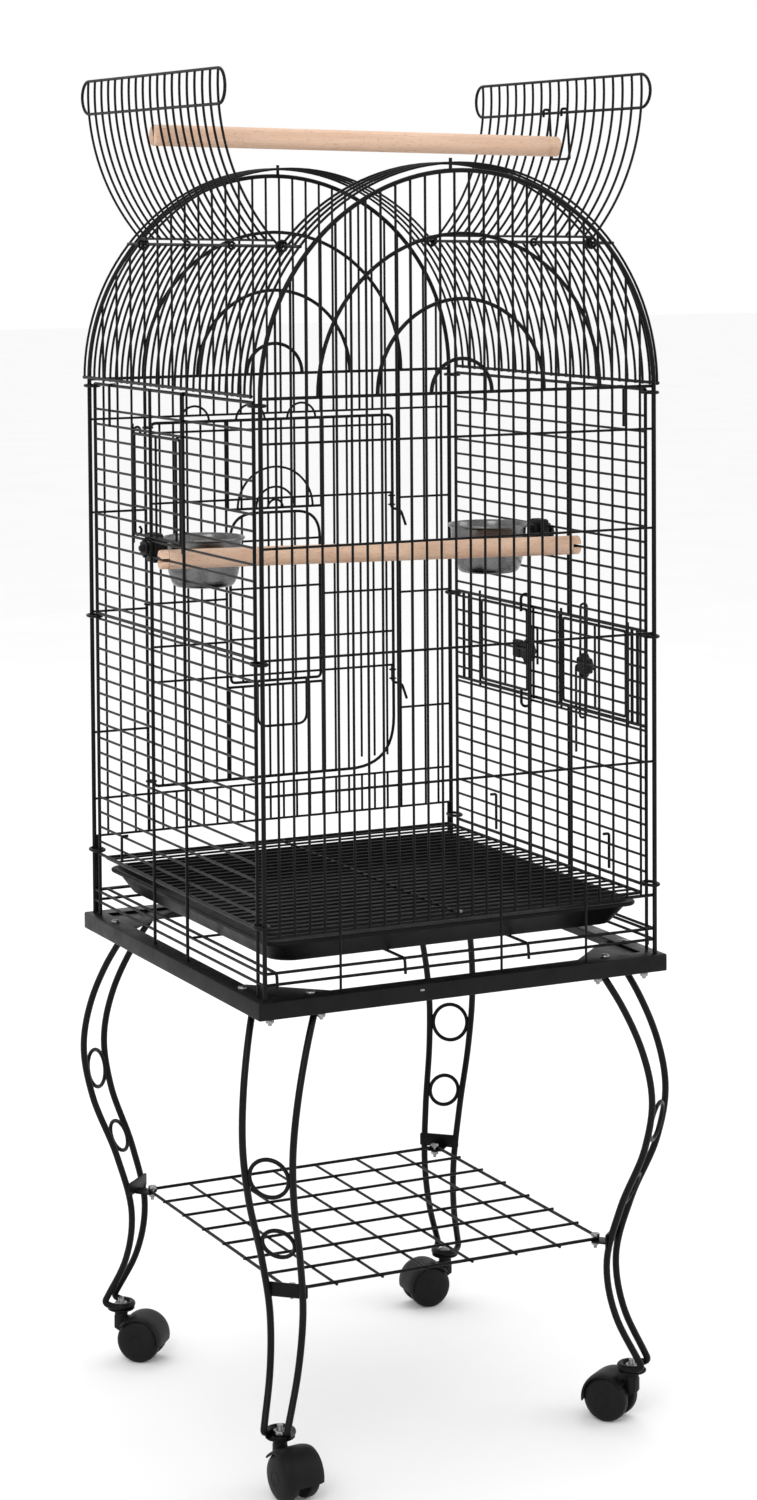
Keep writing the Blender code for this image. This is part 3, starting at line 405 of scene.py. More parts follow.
def shifted(shape, x, y, z):
    """A shape moved by a distance along each axis."""
    return placed(shape, Matrix.Translation((x, y, z)))


# ---------------------------------------------------------------- materials


def group(name, inputs, outputs):
    """An empty shader node group with named number inputs and its outputs."""
    tree = bpy.data.node_groups.new(name, "ShaderNodeTree")
    for label, value in inputs.items():
        socket = tree.interface.new_socket(label, in_out="INPUT", socket_type="NodeSocketFloat")
        socket.default_value = value
    for label, kind in outputs.items():
        tree.interface.new_socket(label, in_out="OUTPUT", socket_type=kind)
    return tree, tree.nodes.new("NodeGroupInput"), tree.nodes.new("NodeGroupOutput")


def noise(tree, vector, scale, detail=3.0, roughness=0.5):
    """A noise texture on a vector, with a fixed or linked scale."""
    node = tree.nodes.new("ShaderNodeTexNoise")
    node.inputs["Detail"].default_value = detail
    node.inputs["Roughness"].default_value = roughness
    tree.links.new(vector, node.inputs["Vector"])
    if isinstance(scale, (int, float)):
        node.inputs["Scale"].default_value = scale
    else:
        tree.links.new(scale, node.inputs["Scale"])
    return node.outputs["Fac"]


def stretched(tree, vector, scale):
    """A vector scaled differently along each axis."""
    node = tree.nodes.new("ShaderNodeMapping")
    node.inputs["Scale"].default_value = scale
    tree.links.new(vector, node.inputs["Vector"])
    return node.outputs["Vector"]


def remapped(tree, value, low, high, to_low=0.0, to_high=1.0):
    """A value taken from one range to another and kept inside it."""
    node = tree.nodes.new("ShaderNodeMapRange")
    for label, number in zip(("From Min", "From Max", "To Min", "To Max"), (low, high, to_low, to_high)):
        if isinstance(number, (int, float)):
            node.inputs[label].default_value = number
        else:
            tree.links.new(number, node.inputs[label])
    tree.links.new(value, node.inputs["Value"])
    return node.outputs["Result"]


def blended(tree, factor, first, second):
    """Two colours mixed by a factor; each is a linked socket or a plain colour."""
    node = tree.nodes.new("ShaderNodeMix")
    node.data_type = "RGBA"
    tree.links.new(factor, node.inputs["Factor"])
    for label, colour in (("A", first), ("B", second)):
        socket = [s for s in node.inputs if s.name == label and s.type == "RGBA"][0]
        if isinstance(colour, tuple):
            socket.default_value = (*colour, 1)
        else:
            tree.links.new(colour, socket)
    return [s for s in node.outputs if s.type == "RGBA"][0]


def object_place(tree):
    """Object coordinates, which stay with the piece when it moves."""
    return tree.nodes.new("ShaderNodeTexCoord").outputs["Object"]


def coating_group():
    """Orange peel of a baked or moulded skin: soft waves for the height, cloudy gloss and a tint."""
    inputs = {"Peel Scale": 700.0, "Cloud Scale": 45.0, "Gloss Low": 0.35, "Gloss High": 0.5}
    kinds = {"Height": "NodeSocketFloat", "Roughness": "NodeSocketFloat", "Tint": "NodeSocketFloat"}
    tree, given, made = group("coating", inputs, kinds)
    place = object_place(tree)
    peel = noise(tree, place, given.outputs["Peel Scale"], 2.0)
    cloud = noise(tree, place, given.outputs["Cloud Scale"], 4.0, 0.6)
    low, high = given.outputs["Gloss Low"], given.outputs["Gloss High"]
    tree.links.new(peel, made.inputs["Height"])
    tree.links.new(remapped(tree, cloud, 0.3, 0.7, low, high), made.inputs["Roughness"])
    tree.links.new(remapped(tree, cloud, 0.35, 0.65), made.inputs["Tint"])
    return tree


def settled_dust_group():
    """Dust mask: noise where a face looks up, nothing where it looks down or sideways."""
    tree, given, made = group("settled_dust", {"Scale": 90.0, "Amount": 0.2}, {"Mask": "NodeSocketFloat"})
    facing = tree.nodes.new("ShaderNodeSeparateXYZ")
    tree.links.new(tree.nodes.new("ShaderNodeNewGeometry").outputs["Normal"], facing.inputs["Vector"])
    speckle = noise(tree, object_place(tree), given.outputs["Scale"], 5.0, 0.65)
    upward = remapped(tree, facing.outputs["Z"], 0.4, 1.0)
    patchy = remapped(tree, speckle, 0.45, 0.75)
    product = tree.nodes.new("ShaderNodeMath")
    product.operation = "MULTIPLY"
    tree.links.new(upward, product.inputs[0])
    tree.links.new(patchy, product.inputs[1])
    scaled = tree.nodes.new("ShaderNodeMath")
    scaled.operation = "MULTIPLY"
    tree.links.new(product.outputs[0], scaled.inputs[0])
    tree.links.new(given.outputs["Amount"], scaled.inputs[1])
    tree.links.new(scaled.outputs[0], made.inputs["Mask"])
    return tree


def placed_group(tree, source, **values):
    """A group placed in a material with its own values."""
    node = tree.nodes.new("ShaderNodeGroup")
    node.node_tree = source
    for label, value in values.items():
        node.inputs[label.replace("_", " ")].default_value = value
    return node


def new_material(name, metallic=0.0, specular=0.5, coat=0.0):
    """A material with a Principled shader, and its tree and shader."""
    made = bpy.data.materials.new(name)
    made.use_nodes = True
    shader = made.node_tree.nodes["Principled BSDF"]
    shader.inputs["Metallic"].default_value = metallic
    shader.inputs["Specular IOR Level"].default_value = specular
    shader.inputs["Coat Weight"].default_value = coat
    shader.inputs["Coat Roughness"].default_value = 0.25
    return made, made.node_tree, shader


def bump(tree, shader, height, distance, strength=1.0):
    """Sends a height to the shader's normal."""
    node = tree.nodes.new("ShaderNodeBump")
    node.inputs["Distance"].default_value = distance
    node.inputs["Strength"].default_value = strength
    tree.links.new(height, node.inputs["Height"])
    tree.links.new(node.outputs["Normal"], shader.inputs["Normal"])


def coated_material(name, dark, light, dust, groups, peel, gloss, specular, depth, coat=0.0):
    """A black finish: cloudy tint, light dust on top, uneven gloss and orange peel."""
    made, tree, shader = new_material(name, specular=specular, coat=coat)
    coating = placed_group(
        tree, groups["coating"], Peel_Scale=peel, Gloss_Low=gloss[0], Gloss_High=gloss[1]
    )
    settled = placed_group(tree, groups["dust"], Amount=dust[3])
    tint = blended(tree, coating.outputs["Tint"], dark, light)
    tree.links.new(blended(tree, settled.outputs["Mask"], tint, dust[:3]), shader.inputs["Base Color"])
    tree.links.new(coating.outputs["Roughness"], shader.inputs["Roughness"])
    bump(tree, shader, coating.outputs["Height"], depth)
    return made


def beech_material():
    """Sanded beech: pale bands along the stick, fine pores and short darker ray flecks."""
    made, tree, shader = new_material("sanded_beech", specular=0.35)
    place = object_place(tree)
    bands = noise(tree, stretched(tree, place, (5, 75, 75)), 1.0, 4.0, 0.55)
    fibres = noise(tree, stretched(tree, place, (22, 900, 900)), 1.0, 3.0, 0.6)
    flecks = noise(tree, stretched(tree, place, (180, 850, 850)), 1.0, 1.0)
    wood = blended(tree, remapped(tree, bands, 0.3, 0.7), (0.70, 0.490, 0.360), (0.53, 0.340, 0.235))
    wood = blended(tree, remapped(tree, fibres, 0.45, 0.8, 0.0, 0.42), wood, (0.5, 0.28, 0.16))
    wood = blended(tree, remapped(tree, flecks, 0.62, 0.72, 0.0, 0.55), wood, (0.36, 0.19, 0.10))
    tree.links.new(wood, shader.inputs["Base Color"])
    tree.links.new(remapped(tree, fibres, 0.3, 0.7, 0.48, 0.66), shader.inputs["Roughness"])
    bump(tree, shader, fibres, 0.00025)
    return made


def spun_steel_material():
    """Spun stainless steel: level rings of slightly different gloss, and soft smears."""
    made, tree, shader = new_material("spun_steel", metallic=1.0)
    place = object_place(tree)
    rings = noise(tree, stretched(tree, place, (6, 6, 1500)), 1.0, 3.0, 0.7)
    smears = noise(tree, place, 38.0, 3.0)
    colour = blended(tree, remapped(tree, smears, 0.3, 0.7), (0.210, 0.206, 0.206), (0.125, 0.122, 0.122))
    tree.links.new(colour, shader.inputs["Base Color"])
    tree.links.new(remapped(tree, rings, 0.3, 0.7, 0.17, 0.34), shader.inputs["Roughness"])
    bump(tree, shader, rings, 0.00004)
    return made


def zinc_material():
    """Bright zinc plate: mottled grey with small rough spots."""
    made, tree, shader = new_material("bright_zinc", metallic=1.0)
    place = object_place(tree)
    mottle = noise(tree, place, 420.0, 4.0, 0.6)
    grit = noise(tree, place, 2600.0, 2.0)
    colour = blended(tree, remapped(tree, mottle, 0.35, 0.65), (0.36, 0.36, 0.37), (0.17, 0.175, 0.18))
    tree.links.new(colour, shader.inputs["Base Color"])
    tree.links.new(remapped(tree, mottle, 0.3, 0.7, 0.24, 0.42), shader.inputs["Roughness"])
    bump(tree, shader, grit, 0.00005)
    return made


def make_materials():
    """All the finishes, by name."""
    groups = {"coating": coating_group(), "dust": settled_dust_group()}
    return {
        "wire": coated_material(
            "baked_black_coat", (0.0022, 0.0022, 0.0024), (0.0045, 0.0045, 0.0048),
            (0.03, 0.03, 0.03, 0.08), groups, 900.0, (0.30, 0.44), 0.12, 0.00006,
        ),
        "sheet": coated_material(
            "baked_black_sheet", (0.0026, 0.0026, 0.0028), (0.0050, 0.0050, 0.0053),
            (0.03, 0.03, 0.03, 0.10), groups, 620.0, (0.34, 0.50), 0.14, 0.00010,
        ),
        "plastic": coated_material(
            "moulded_black", (0.0030, 0.0030, 0.0032), (0.0055, 0.0055, 0.0058),
            (0.03, 0.03, 0.03, 0.08), groups, 1500.0, (0.42, 0.56), 0.15, 0.00008,
        ),
        "tray": coated_material(
            "pressed_tray_black", (0.0024, 0.0024, 0.0026), (0.0046, 0.0046, 0.0048),
            (0.03, 0.03, 0.03, 0.08), groups, 480.0, (0.40, 0.55), 0.11, 0.00012,
        ),
        "tread": coated_material(
            "rolling_tread", (0.0032, 0.0032, 0.0034), (0.0060, 0.0060, 0.0060),
            (0.04, 0.04, 0.038, 0.12), groups, 800.0, (0.42, 0.58), 0.15, 0.00012,
        ),
        "wood": beech_material(),
        "steel": spun_steel_material(),
        "zinc": zinc_material(),
    }


FINISHES = make_materials()


def piece(name, body, finish, *shapes, replaces=(), sharp=48.0):
    """Joins shapes into one object, turns its faces outwards and hangs it on a body."""
    points, faces = merged(*shapes)
    mesh = bpy.data.meshes.new(name)
    mesh.from_pydata(points.tolist(), [], faces)
    shell = bmesh.new()
    shell.from_mesh(mesh)
    bmesh.ops.remove_doubles(shell, verts=shell.verts, dist=WELD_DISTANCE)
    bmesh.ops.recalc_face_normals(shell, faces=shell.faces)
    shell.to_mesh(mesh)
    shell.free()
    mesh.shade_smooth()
    mesh.set_sharp_from_angle(angle=math.radians(sharp))
    mesh.materials.append(FINISHES[finish])
    made = bpy.data.objects.new(name, mesh)
    bpy.context.scene.collection.objects.link(made)
    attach(made, body)
    if replaces:
        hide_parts(*replaces)
    return made


# ---------------------------------------------------------------- end walls


def arch_top(x):
    """Height of the arch's middle line at x."""
    return RING_Z + np.sqrt(HALF_X**2 - np.asarray(x) ** 2)


def outline_rod(name, y, node):
    """The post, arch and post that border an end wall: up, a half circle and down."""
    arch = arc((0, y, RING_Z), HALF_X, math.pi, 0, 73)
    path = np.concatenate([[(-HALF_X, y, FOOT_Z)], arch, [(HALF_X, y, FOOT_Z)]])
    piece(name, "cage", "wire", tubes(path, POST, 12), replaces=[node])


def arch_arcs(y):
    """Three half circles inside the arch, standing on the ring row."""
    paths = [arc((0, y, RING_Z), radius, math.pi, 0, 49) for radius in ARC_RADII]
    return tubes(np.stack(paths), ARC_WIRE)


def arch_nub(x, y):
    """A short stub of wire standing on top of an arch."""
    return straight((x, y, 1.268), (x, y, 1.2810), RAIL)


def row(z, y, low=-HALF_X, high=HALF_X, radius=FINE):
    """A level wire across an end wall."""
    return straight((low, y, z), (high, y, z), radius)


def front_wall():
    """The plain wall: uprights carried to the arch, level rows behind them, and three arcs."""
    outside, inside = -HALF_Y, -HALF_Y + WELD + FINE / 2
    k = np.arange(1, BARS)
    xs = -HALF_X + PITCH * k
    bottoms = np.where(np.isin(k, LONG_BARS), FOOT_Z, TRAY_RAIL_Z)
    uprights = columns(xs, outside, bottoms, arch_top(xs))
    rows = [row(z, inside) for z in FRONT_ROWS_Z]
    rows.extend(row(z, inside, radius=SKIRT) for z in SKIRT_Z)
    rails = [row(TRAY_RAIL_Z, inside, radius=RAIL), row(RING_Z, inside, radius=RAIL)]
    arcs = arch_arcs(inside)
    made = [uprights, *rows, *rails, arcs, arch_nub(NUB_X[0], outside)]
    piece("front_wires", "cage", "wire", *made, replaces=["front_grille"])
    outline_rod("front_outline", -HALF_Y, "front_frame")


def back_wall():
    """The door wall: uprights round a doorway, jambs beside it, and open below the first row."""
    outside, inside = HALF_Y, HALF_Y - WELD - FINE / 2
    k = np.arange(1, BARS)
    xs = -HALF_X + PITCH * k
    in_doorway = np.abs(xs) < JAMB_X
    beside = xs[~in_doorway]
    across = xs[in_doorway]
    head, sill = FRONT_ROWS_Z[-1], BACK_ROWS_Z[-1]
    uprights = merged(
        columns(beside, outside, BACK_ROWS_Z[0], arch_top(beside)),
        columns(across, outside, BACK_ROWS_Z[0], sill),
        columns(across, outside, head, arch_top(across)),
        columns([-0.2114, 0.2114], outside, FOOT_Z, BACK_ROWS_Z[0]),
        columns([-JAMB_X, JAMB_X], outside, BACK_ROWS_Z[0], RING_Z, RAIL),
    )
    rows = [row(z, inside) for z in (*BACK_ROWS_Z, head)]
    rows.extend(row(z, inside, radius=SKIRT) for z in SKIRT_Z)
    for z in FRONT_ROWS_Z[:-1]:
        rows.append(row(z, inside, -HALF_X, -JAMB_X))
        rows.append(row(z, inside, JAMB_X, HALF_X))
    rows.append(row(RING_Z, inside, radius=RAIL))
    made = [uprights, *rows, arch_arcs(inside), arch_nub(NUB_X[1], outside)]
    piece("back_wires", "cage", "wire", *made, replaces=["back_grille"])
    outline_rod("back_outline", HALF_Y, "back_frame")


# ---------------------------------------------------------------- side walls


def side_line(x, z, gaps, radius=FINE, reach=SIDE_END_Y):
    """A level wire along a side wall at height z, left out where an opening crosses it."""
    cuts = sorted((low_y, high_y) for low_y, high_y, low_z, high_z in gaps if low_z < z < high_z)
    edges = [-reach, *[edge for cut in cuts for edge in cut], reach]
    starts = [(x, low, z) for low in edges[0::2]]
    ends = [(x, high, z) for high in edges[1::2]]
    return straight(starts, ends, radius)


def side_wall(name, x, node, uprights, doors, rails_z, prongs, band_y=()):
    """A side wall: close level wires, strong columns, rails, jambs, prongs and the band's uprights."""
    sign = math.copysign(1, x)
    rows_x = x - sign * 0.0003
    columns_x = x + sign * 0.0007
    margin = 0.0022
    gaps = [(a - margin, b + margin, c - margin, d + margin) for a, b, c, d in doors]
    made = []
    for k in range(SIDE_ROWS):
        z = SIDE_TOP_ROW_Z - PITCH * k
        if min(abs(z - rail) for rail in rails_z) > 0.004:
            made.append(side_line(rows_x, z, gaps))
    for z in SKIRT_Z:
        made.append(side_line(rows_x, z, [], SKIRT, HALF_Y))
    for z in rails_z:
        made.append(side_line(rows_x, z, [], RAIL))
    for y in (-SIDE_END_Y, SIDE_END_Y):
        made.append(straight((x, y, FOOT_Z), (x, y, SIDE_TOP_RAIL_Z), RAIL + 0.0001, 10))
    for y, z_low, z_high in uprights:
        made.append(straight((columns_x, y, z_low), (columns_x, y, z_high), RAIL, 10))
    for low_y, high_y, low_z, high_z in gaps:
        for y in (low_y, high_y):
            made.append(straight((x, y, low_z - 0.006), (x, y, high_z + 0.006), FINE + 0.0001))
        for z in (low_z, high_z):
            made.append(straight((x, low_y, z), (x, high_y, z), FINE))
    for y in band_y:
        made.append(straight((x, y, FEEDER_RAILS_Z[0]), (x, y, FEEDER_RAILS_Z[1]), RAIL, 10))
    for y, z_from, z_to in prongs:
        inner, outer = x - sign * 0.004, x + sign * 0.003
        hook = rounded([(inner, y, z_from), (outer, y, z_from), (outer, y, z_to)], 0.002)
        made.append(tubes(hook, FINE + 0.0002))
    piece(name, "cage", "wire", *made, replaces=[node])


def side_walls():
    """The left wall has one feeder door, the right wall has two in a band between two rails."""
    left_rails = (SIDE_TOP_RAIL_Z, FEEDER_RAILS_Z[1], SIDE_FOOT_RAIL_Z)
    right_rails = (SIDE_TOP_RAIL_Z, *FEEDER_RAILS_Z[::-1], SIDE_FOOT_RAIL_Z)
    doors = [REAR_FEEDER, FRONT_FEEDER]
    side_wall(
        "left_wires", -HALF_X, "left_side_panel", LEFT_COLUMNS, [LEFT_FEEDER], left_rails, LEFT_PRONGS
    )
    side_wall(
        "right_wires", HALF_X, "right_side_panel", RIGHT_COLUMNS, doors, right_rails, RIGHT_PRONGS,
        RIGHT_BAND_Y,
    )


def corner_clips():
    """Wire rings that tie a side wall's end rod to the post beside it, at three heights."""
    rings = []
    for x in (-HALF_X, HALF_X):
        for y in (-1, 1):
            for z in CLIPS_Z:
                centre = (x, y * (HALF_Y + SIDE_END_Y) / 2, z)
                path = arc(centre, CLIP_RADIUS, 0, 2 * math.pi, 33, up=(0, 1, 0))[:-1]
                path[:, 0] = x + (path[:, 0] - x) * 0.62
                rings.append(path)
    piece("corner_clips", "cage", "wire", tubes(np.stack(rings), RAIL - 0.0001, closed=True))


# ---------------------------------------------------------------- roof


def roof_point(y, angle):
    """Point of the barrel roof at an angle up from the right foot."""
    y, angle = np.broadcast_arrays(np.asarray(y, float), np.asarray(angle, float))
    x = ROOF_RADIUS * np.cos(angle)
    return np.stack([x, y, RING_Z + ROOF_RADIUS * np.sin(angle)], -1)


def roof():
    """Full arches at both ends, quarter arches between them, foot rods and hinge rods."""
    foot = 0.003
    margin = ROOF_END_Y - ROOF_OPENING_Y
    full_y = ROOF_OPENING_Y + margin * np.arange(4) / 3
    full_y = np.concatenate([-full_y, full_y])
    full = tubes(roof_point(full_y[:, None], np.linspace(foot, math.pi - foot, 65)[None]), FINE)
    quarter_y = np.linspace(-ROOF_OPENING_Y, ROOF_OPENING_Y, 23)[1:-1]
    up = np.linspace(foot, HINGE_ANGLE, 19)
    right = tubes(roof_point(quarter_y[:, None], up[None]), FINE)
    left = tubes(roof_point(quarter_y[:, None], math.pi - up[None]), FINE)
    rods = []
    for angle, radius in ((0.012, RAIL), (HINGE_ANGLE, RAIL)):
        for turn in (angle, math.pi - angle):
            ends = roof_point((-ROOF_END_Y - 0.002, ROOF_END_Y + 0.002), turn)
            rods.append(straight(ends[0], ends[1], radius, 10))
    piece("roof_wires", "cage", "wire", full, right, left, *rods, replaces=["roof_grille"])


def flap_point(side, y, reach):
    """Point of an open flap at a distance up from its hinge.

    The flap has the roof's own curve, turned outwards about the hinge by the opening angle.
    """
    y, reach = np.broadcast_arrays(np.asarray(y, float), np.asarray(reach, float))
    angle = HINGE_ANGLE + reach / ROOF_RADIUS
    x = ROOF_RADIUS * (np.cos(angle) - math.cos(HINGE_ANGLE))
    z = ROOF_RADIUS * (np.sin(angle) - math.sin(HINGE_ANGLE))
    hinge = roof_point(0, HINGE_ANGLE)
    out = x * math.cos(FLAP_OPEN) + z * math.sin(FLAP_OPEN)
    up = z * math.cos(FLAP_OPEN) - x * math.sin(FLAP_OPEN)
    return np.stack([side * (hinge[0] + out), y, hinge[2] + up], -1)


def flap(name, side, node):
    """Curved wires from a root rail to a long loop of wire round the free edge, and hinge eyes."""
    ys = np.linspace(-FLAP_HALF_Y, FLAP_HALF_Y, FLAP_WIRES)
    reach = np.linspace(FLAP_ROOT, FLAP_ARC, 25)
    wires = tubes(flap_point(side, ys[:, None], reach[None]), FINE)
    root = flap_point(side, (-FLAP_HALF_Y, FLAP_HALF_Y), FLAP_ROOT)
    middle = (FLAP_ARC + FLAP_LOWER_RAIL) / 2
    half = (FLAP_ARC - FLAP_LOWER_RAIL) / 2
    turn = np.linspace(-math.pi / 2, math.pi / 2, 13)
    near_y = -FLAP_HALF_Y - np.cos(turn) * half
    loop_y = np.concatenate([near_y, -near_y[::-1]])
    loop_reach = np.concatenate([middle + np.sin(turn) * half, middle + np.sin(turn[::-1]) * half])
    loop = tubes(flap_point(side, loop_y, loop_reach), RAIL - 0.0001, closed=True)
    hinge = roof_point(0, HINGE_ANGLE)
    eyes = []
    for y in FLAP_EYES_Y:
        centre = (side * hinge[0], y, hinge[2])
        eyes.append(arc(centre, 0.0034, 0, 2 * math.pi, 17)[:-1])
    eyes = tubes(np.stack(eyes), FINE, closed=True)
    knots = []
    for y in FLAP_KNOTS_Y:
        knots.append(arc((side * hinge[0], y, hinge[2]), 0.0050, 0, 2 * math.pi, 17)[:-1])
    knots = tubes(np.stack(knots), RAIL, closed=True)
    shanks = straight(
        flap_point(side, FLAP_EYES_Y, 0.0042),
        flap_point(side, FLAP_EYES_Y, FLAP_ROOT + 0.002),
        FINE,
    )
    root_rod = straight(root[0], root[1], FINE)
    made = [wires, root_rod, loop, eyes, knots, shanks]
    piece(name, name.replace("_wires", ""), "wire", *made, replaces=[node])


# ---------------------------------------------------------------- doors


def back_route(points, y=HALF_Y):
    """Points (x, z) placed in the door wall."""
    points = np.asarray(points, float)
    return np.stack([points[:, 0], np.full(len(points), y), points[:, 1]], -1)


def inset_corners(area, inset):
    """The four corners of an area, moved in from its edges."""
    low_u, high_u, low_v, high_v = area
    low_u, high_u, low_v, high_v = low_u + inset, high_u - inset, low_v + inset, high_v - inset
    return [(low_u, low_v), (high_u, low_v), (high_u, high_v), (low_u, high_v)]


def main_door():
    """A bordered door with one round corner, uprights, level bars, arcs and hinge eyes."""
    low_x, high_x, low_z, high_z = MAIN_DOOR
    half = RAIL
    border = back_route(inset_corners(MAIN_DOOR, half))
    bends = rounded(border, 0.006, closed=True).reshape(4, -1, 3)
    wide = rounded(border, 0.055, 12, closed=True).reshape(4, -1, 3)[1]
    path = np.concatenate([bends[0], wide, bends[2], bends[3]])
    inside = HALF_Y - WELD
    xs = -HALF_X + PITCH * np.arange(1, BARS)
    xs = xs[(xs > low_x + 0.006) & (xs < high_x - 0.006)]
    low_u, high_u, low_v, high_v = INNER_OPENING
    crossing = (xs > low_u - 0.004) & (xs < high_u + 0.004)
    bottom = np.where(xs > high_x - 0.045, low_z + 0.014, low_z + half)
    uprights = merged(
        columns(xs[~crossing], HALF_Y, bottom[~crossing], high_z - half),
        columns(xs[crossing], HALF_Y, low_z + half, low_v),
        columns(xs[crossing], HALF_Y, high_v, high_z - half),
        columns([low_u, high_u], HALF_Y, low_z + half, high_z - half, FINE + 0.0002),
    )
    bars = [row(z, inside, low_x + half, high_x - half) for z in (0.994, 0.918, 0.725)]
    for z in (0.810, 0.763, 0.857):
        bars.append(row(z, inside, low_x + half, low_u))
        bars.append(row(z, inside, high_u, high_x - half))
    for z in (low_v, high_v):
        bars.append(row(z, HALF_Y, low_u, high_u, FINE + 0.0002))
    crown = [arc((0, inside, high_v), radius, math.pi, 0, 33) for radius in (0.045, 0.023, 0.009)]
    top_arcs = [arc((x, inside, high_z - half), 0.017, math.pi, 0, 21) for x in (-0.095, -0.029, 0.032)]
    lever = [(-0.024, 0.719), (-0.024, 0.668), (0.035, 0.668), (0.035, 0.719)]
    lever = rounded(back_route(lever, inside - 0.002), 0.012)
    eyes = []
    for z in (1.0, 0.810, 0.618):
        eyes.append(arc((low_x - 0.0015, HALF_Y, z), 0.0048, 0, 2 * math.pi, 21, up=(0, 1, 0))[:-1])
    made = [
        tubes(path, RAIL, 10, closed=True),
        uprights,
        *bars,
        tubes(np.stack(crown), FINE),
        tubes(np.stack(top_arcs), FINE),
        tubes(lever, FINE + 0.0002),
        tubes(np.stack(eyes), FINE + 0.0001, closed=True),
    ]
    piece("main_door_wires", "main_door", "wire", *made, replaces=["main_door"])


def inner_door():
    """A small door with round top corners, uprights, level bars and two hinge eyes."""
    low_x, high_x, low_z, high_z = INNER_DOOR
    half = RAIL
    border = back_route(inset_corners(INNER_DOOR, half))
    tight = rounded(border, 0.005, closed=True).reshape(4, -1, 3)
    wide = rounded(border, 0.030, 10, closed=True).reshape(4, -1, 3)
    path = np.concatenate([tight[0], tight[1], wide[2], wide[3]])
    xs = np.linspace(low_x, high_x, 8)[1:-1]
    tops = high_z - half - np.where(np.abs(xs) > 0.035, 0.004, 0)
    uprights = columns(xs, HALF_Y, low_z + half, tops)
    inside = HALF_Y - WELD
    bars = [row(z, inside, low_x + half, high_x - half) for z in (0.765, 0.820, 0.872)]
    piece(
        "inner_door_wires", "inner_door", "wire", tubes(path, RAIL - 0.0001, 10, closed=True),
        uprights, *bars, replaces=["inner_door"],
    )


def feeder_door(name, area, x, body):
    """A feeder door: a strong border, close level wires and an upright in the middle."""
    low_y, high_y, low_z, high_z = area
    half = RAIL
    border = np.array([(x, y, z) for y, z in inset_corners(area, half)])
    path = rounded(border, 0.004, closed=True)
    count = round((high_z - low_z) / PITCH)
    zs = np.linspace(low_z, high_z, count + 1)[1:-1]
    rows = lines([(x, 0, z) for z in zs], low_y + half, high_y - half, 1, FINE)
    middle = (low_y + high_y) / 2
    sign = math.copysign(1, x)
    upright = lines([(x + sign * WELD, middle, 0)], low_z + half, high_z - half, 2, FINE)
    piece(name, body, "wire", tubes(path, RAIL - 0.0001, 10, closed=True), rows, upright, replaces=[body])


def curled_rod(x, y, z_low, z_high, turn):
    """An upright rod whose two ends curl over the same way; turn is the curls' side along X."""
    curl = 0.0044
    side = unit(np.array([turn, 0.3, 0.0]))
    beside = np.array([x, y, 0.0]) + side * curl
    low = arc(beside + (0, 0, z_low), curl, math.pi * 2.35, math.pi, 19, along=side)
    high = arc(beside + (0, 0, z_high), curl, math.pi, -math.pi * 0.35, 19, along=side)
    return tubes(np.concatenate([low, high]), 0.0014)


def hooked_rod(x, y, z_low, z_high, leg):
    """An upright rod that turns back on itself at both ends: two half circles and straight legs."""
    bend = 0.0050
    side = unit(np.array([-1.0, 0.3, 0.0]))
    beside = np.array([x, y, 0.0]) + side * bend
    low = arc(beside + (0, 0, z_low), bend, math.pi * 2, math.pi, 13, along=side)
    high = arc(beside + (0, 0, z_high), bend, math.pi, 0, 13, along=side)
    start = low[:1] + (0, 0, leg)
    end = high[-1:] - (0, 0, leg)
    return tubes(np.concatenate([start, low, high, end]), 0.0016)


def feeder_doors():
    """Three feeder doors and the curled rods that hold them shut."""
    feeder_door("left_feeder_wires", LEFT_FEEDER, -HALF_X, "left_feeder_door")
    feeder_door("rear_feeder_wires", REAR_FEEDER, HALF_X, "right_rear_feeder_door")
    feeder_door("front_feeder_wires", FRONT_FEEDER, HALF_X, "right_front_feeder_door")
    rods = [
        curled_rod(-0.2118, 0.1051, 0.902, 1.005, 1),
        curled_rod(-0.2118, -0.0070, 0.900, 1.001, 1),
        hooked_rod(0.2118, 0.0295, 0.704, 0.815, 0.0135),
        straight((0.2118, 0.0225, 0.708), (0.2118, 0.0225, 0.806), 0.0014),
    ]
    piece("feeder_rods", "cage", "wire", *rods)


def front_catch():
    """A hairpin round the front knob and a staple beside it, on the front feeder door."""
    x, y, z = CATCH_X, -0.0675, 0.7620
    hairpin = [
        (x, y, z + 0.057), (x + 0.0075, y, z + 0.057),
        (x + 0.0075, y + 0.002, z - 0.063), (x, y + 0.002, z - 0.063),
    ]
    loop = tubes(rounded(hairpin, 0.0036, closed=True), CATCH_WIRE, closed=True)
    staple = [
        (x, y + 0.010, z - 0.100), (x, y + 0.010, z - 0.008),
        (x, y - 0.030, z - 0.008), (x, y - 0.030, z - 0.044),
    ]
    staple = tubes(rounded(staple, 0.004), CATCH_WIRE)
    piece("front_catch", "right_front_feeder_door", "wire", loop, staple)


def rear_catch():
    """A hooked wire beside the rear knob, and the moulded block it snaps into."""
    x, y, z = CATCH_X, 0.0380, 0.7620
    hook = [
        (x, y, z - 0.016), (x, y, z + 0.020),
        (x + 0.0068, y, z + 0.020), (x + 0.0068, y, z - 0.020),
    ]
    piece("rear_catch", "right_rear_feeder_door", "wire", tubes(rounded(hook, 0.0032), CATCH_WIRE))
    block = placed(slab(rounded_rectangle(0.0095, 0.0080, 0.002), 0, 0.0060, 0.001), facing_x(1))
    piece("rear_block", "right_rear_feeder_door", "plastic", shifted(block, 0.2168, 0.0710, 0.7560))


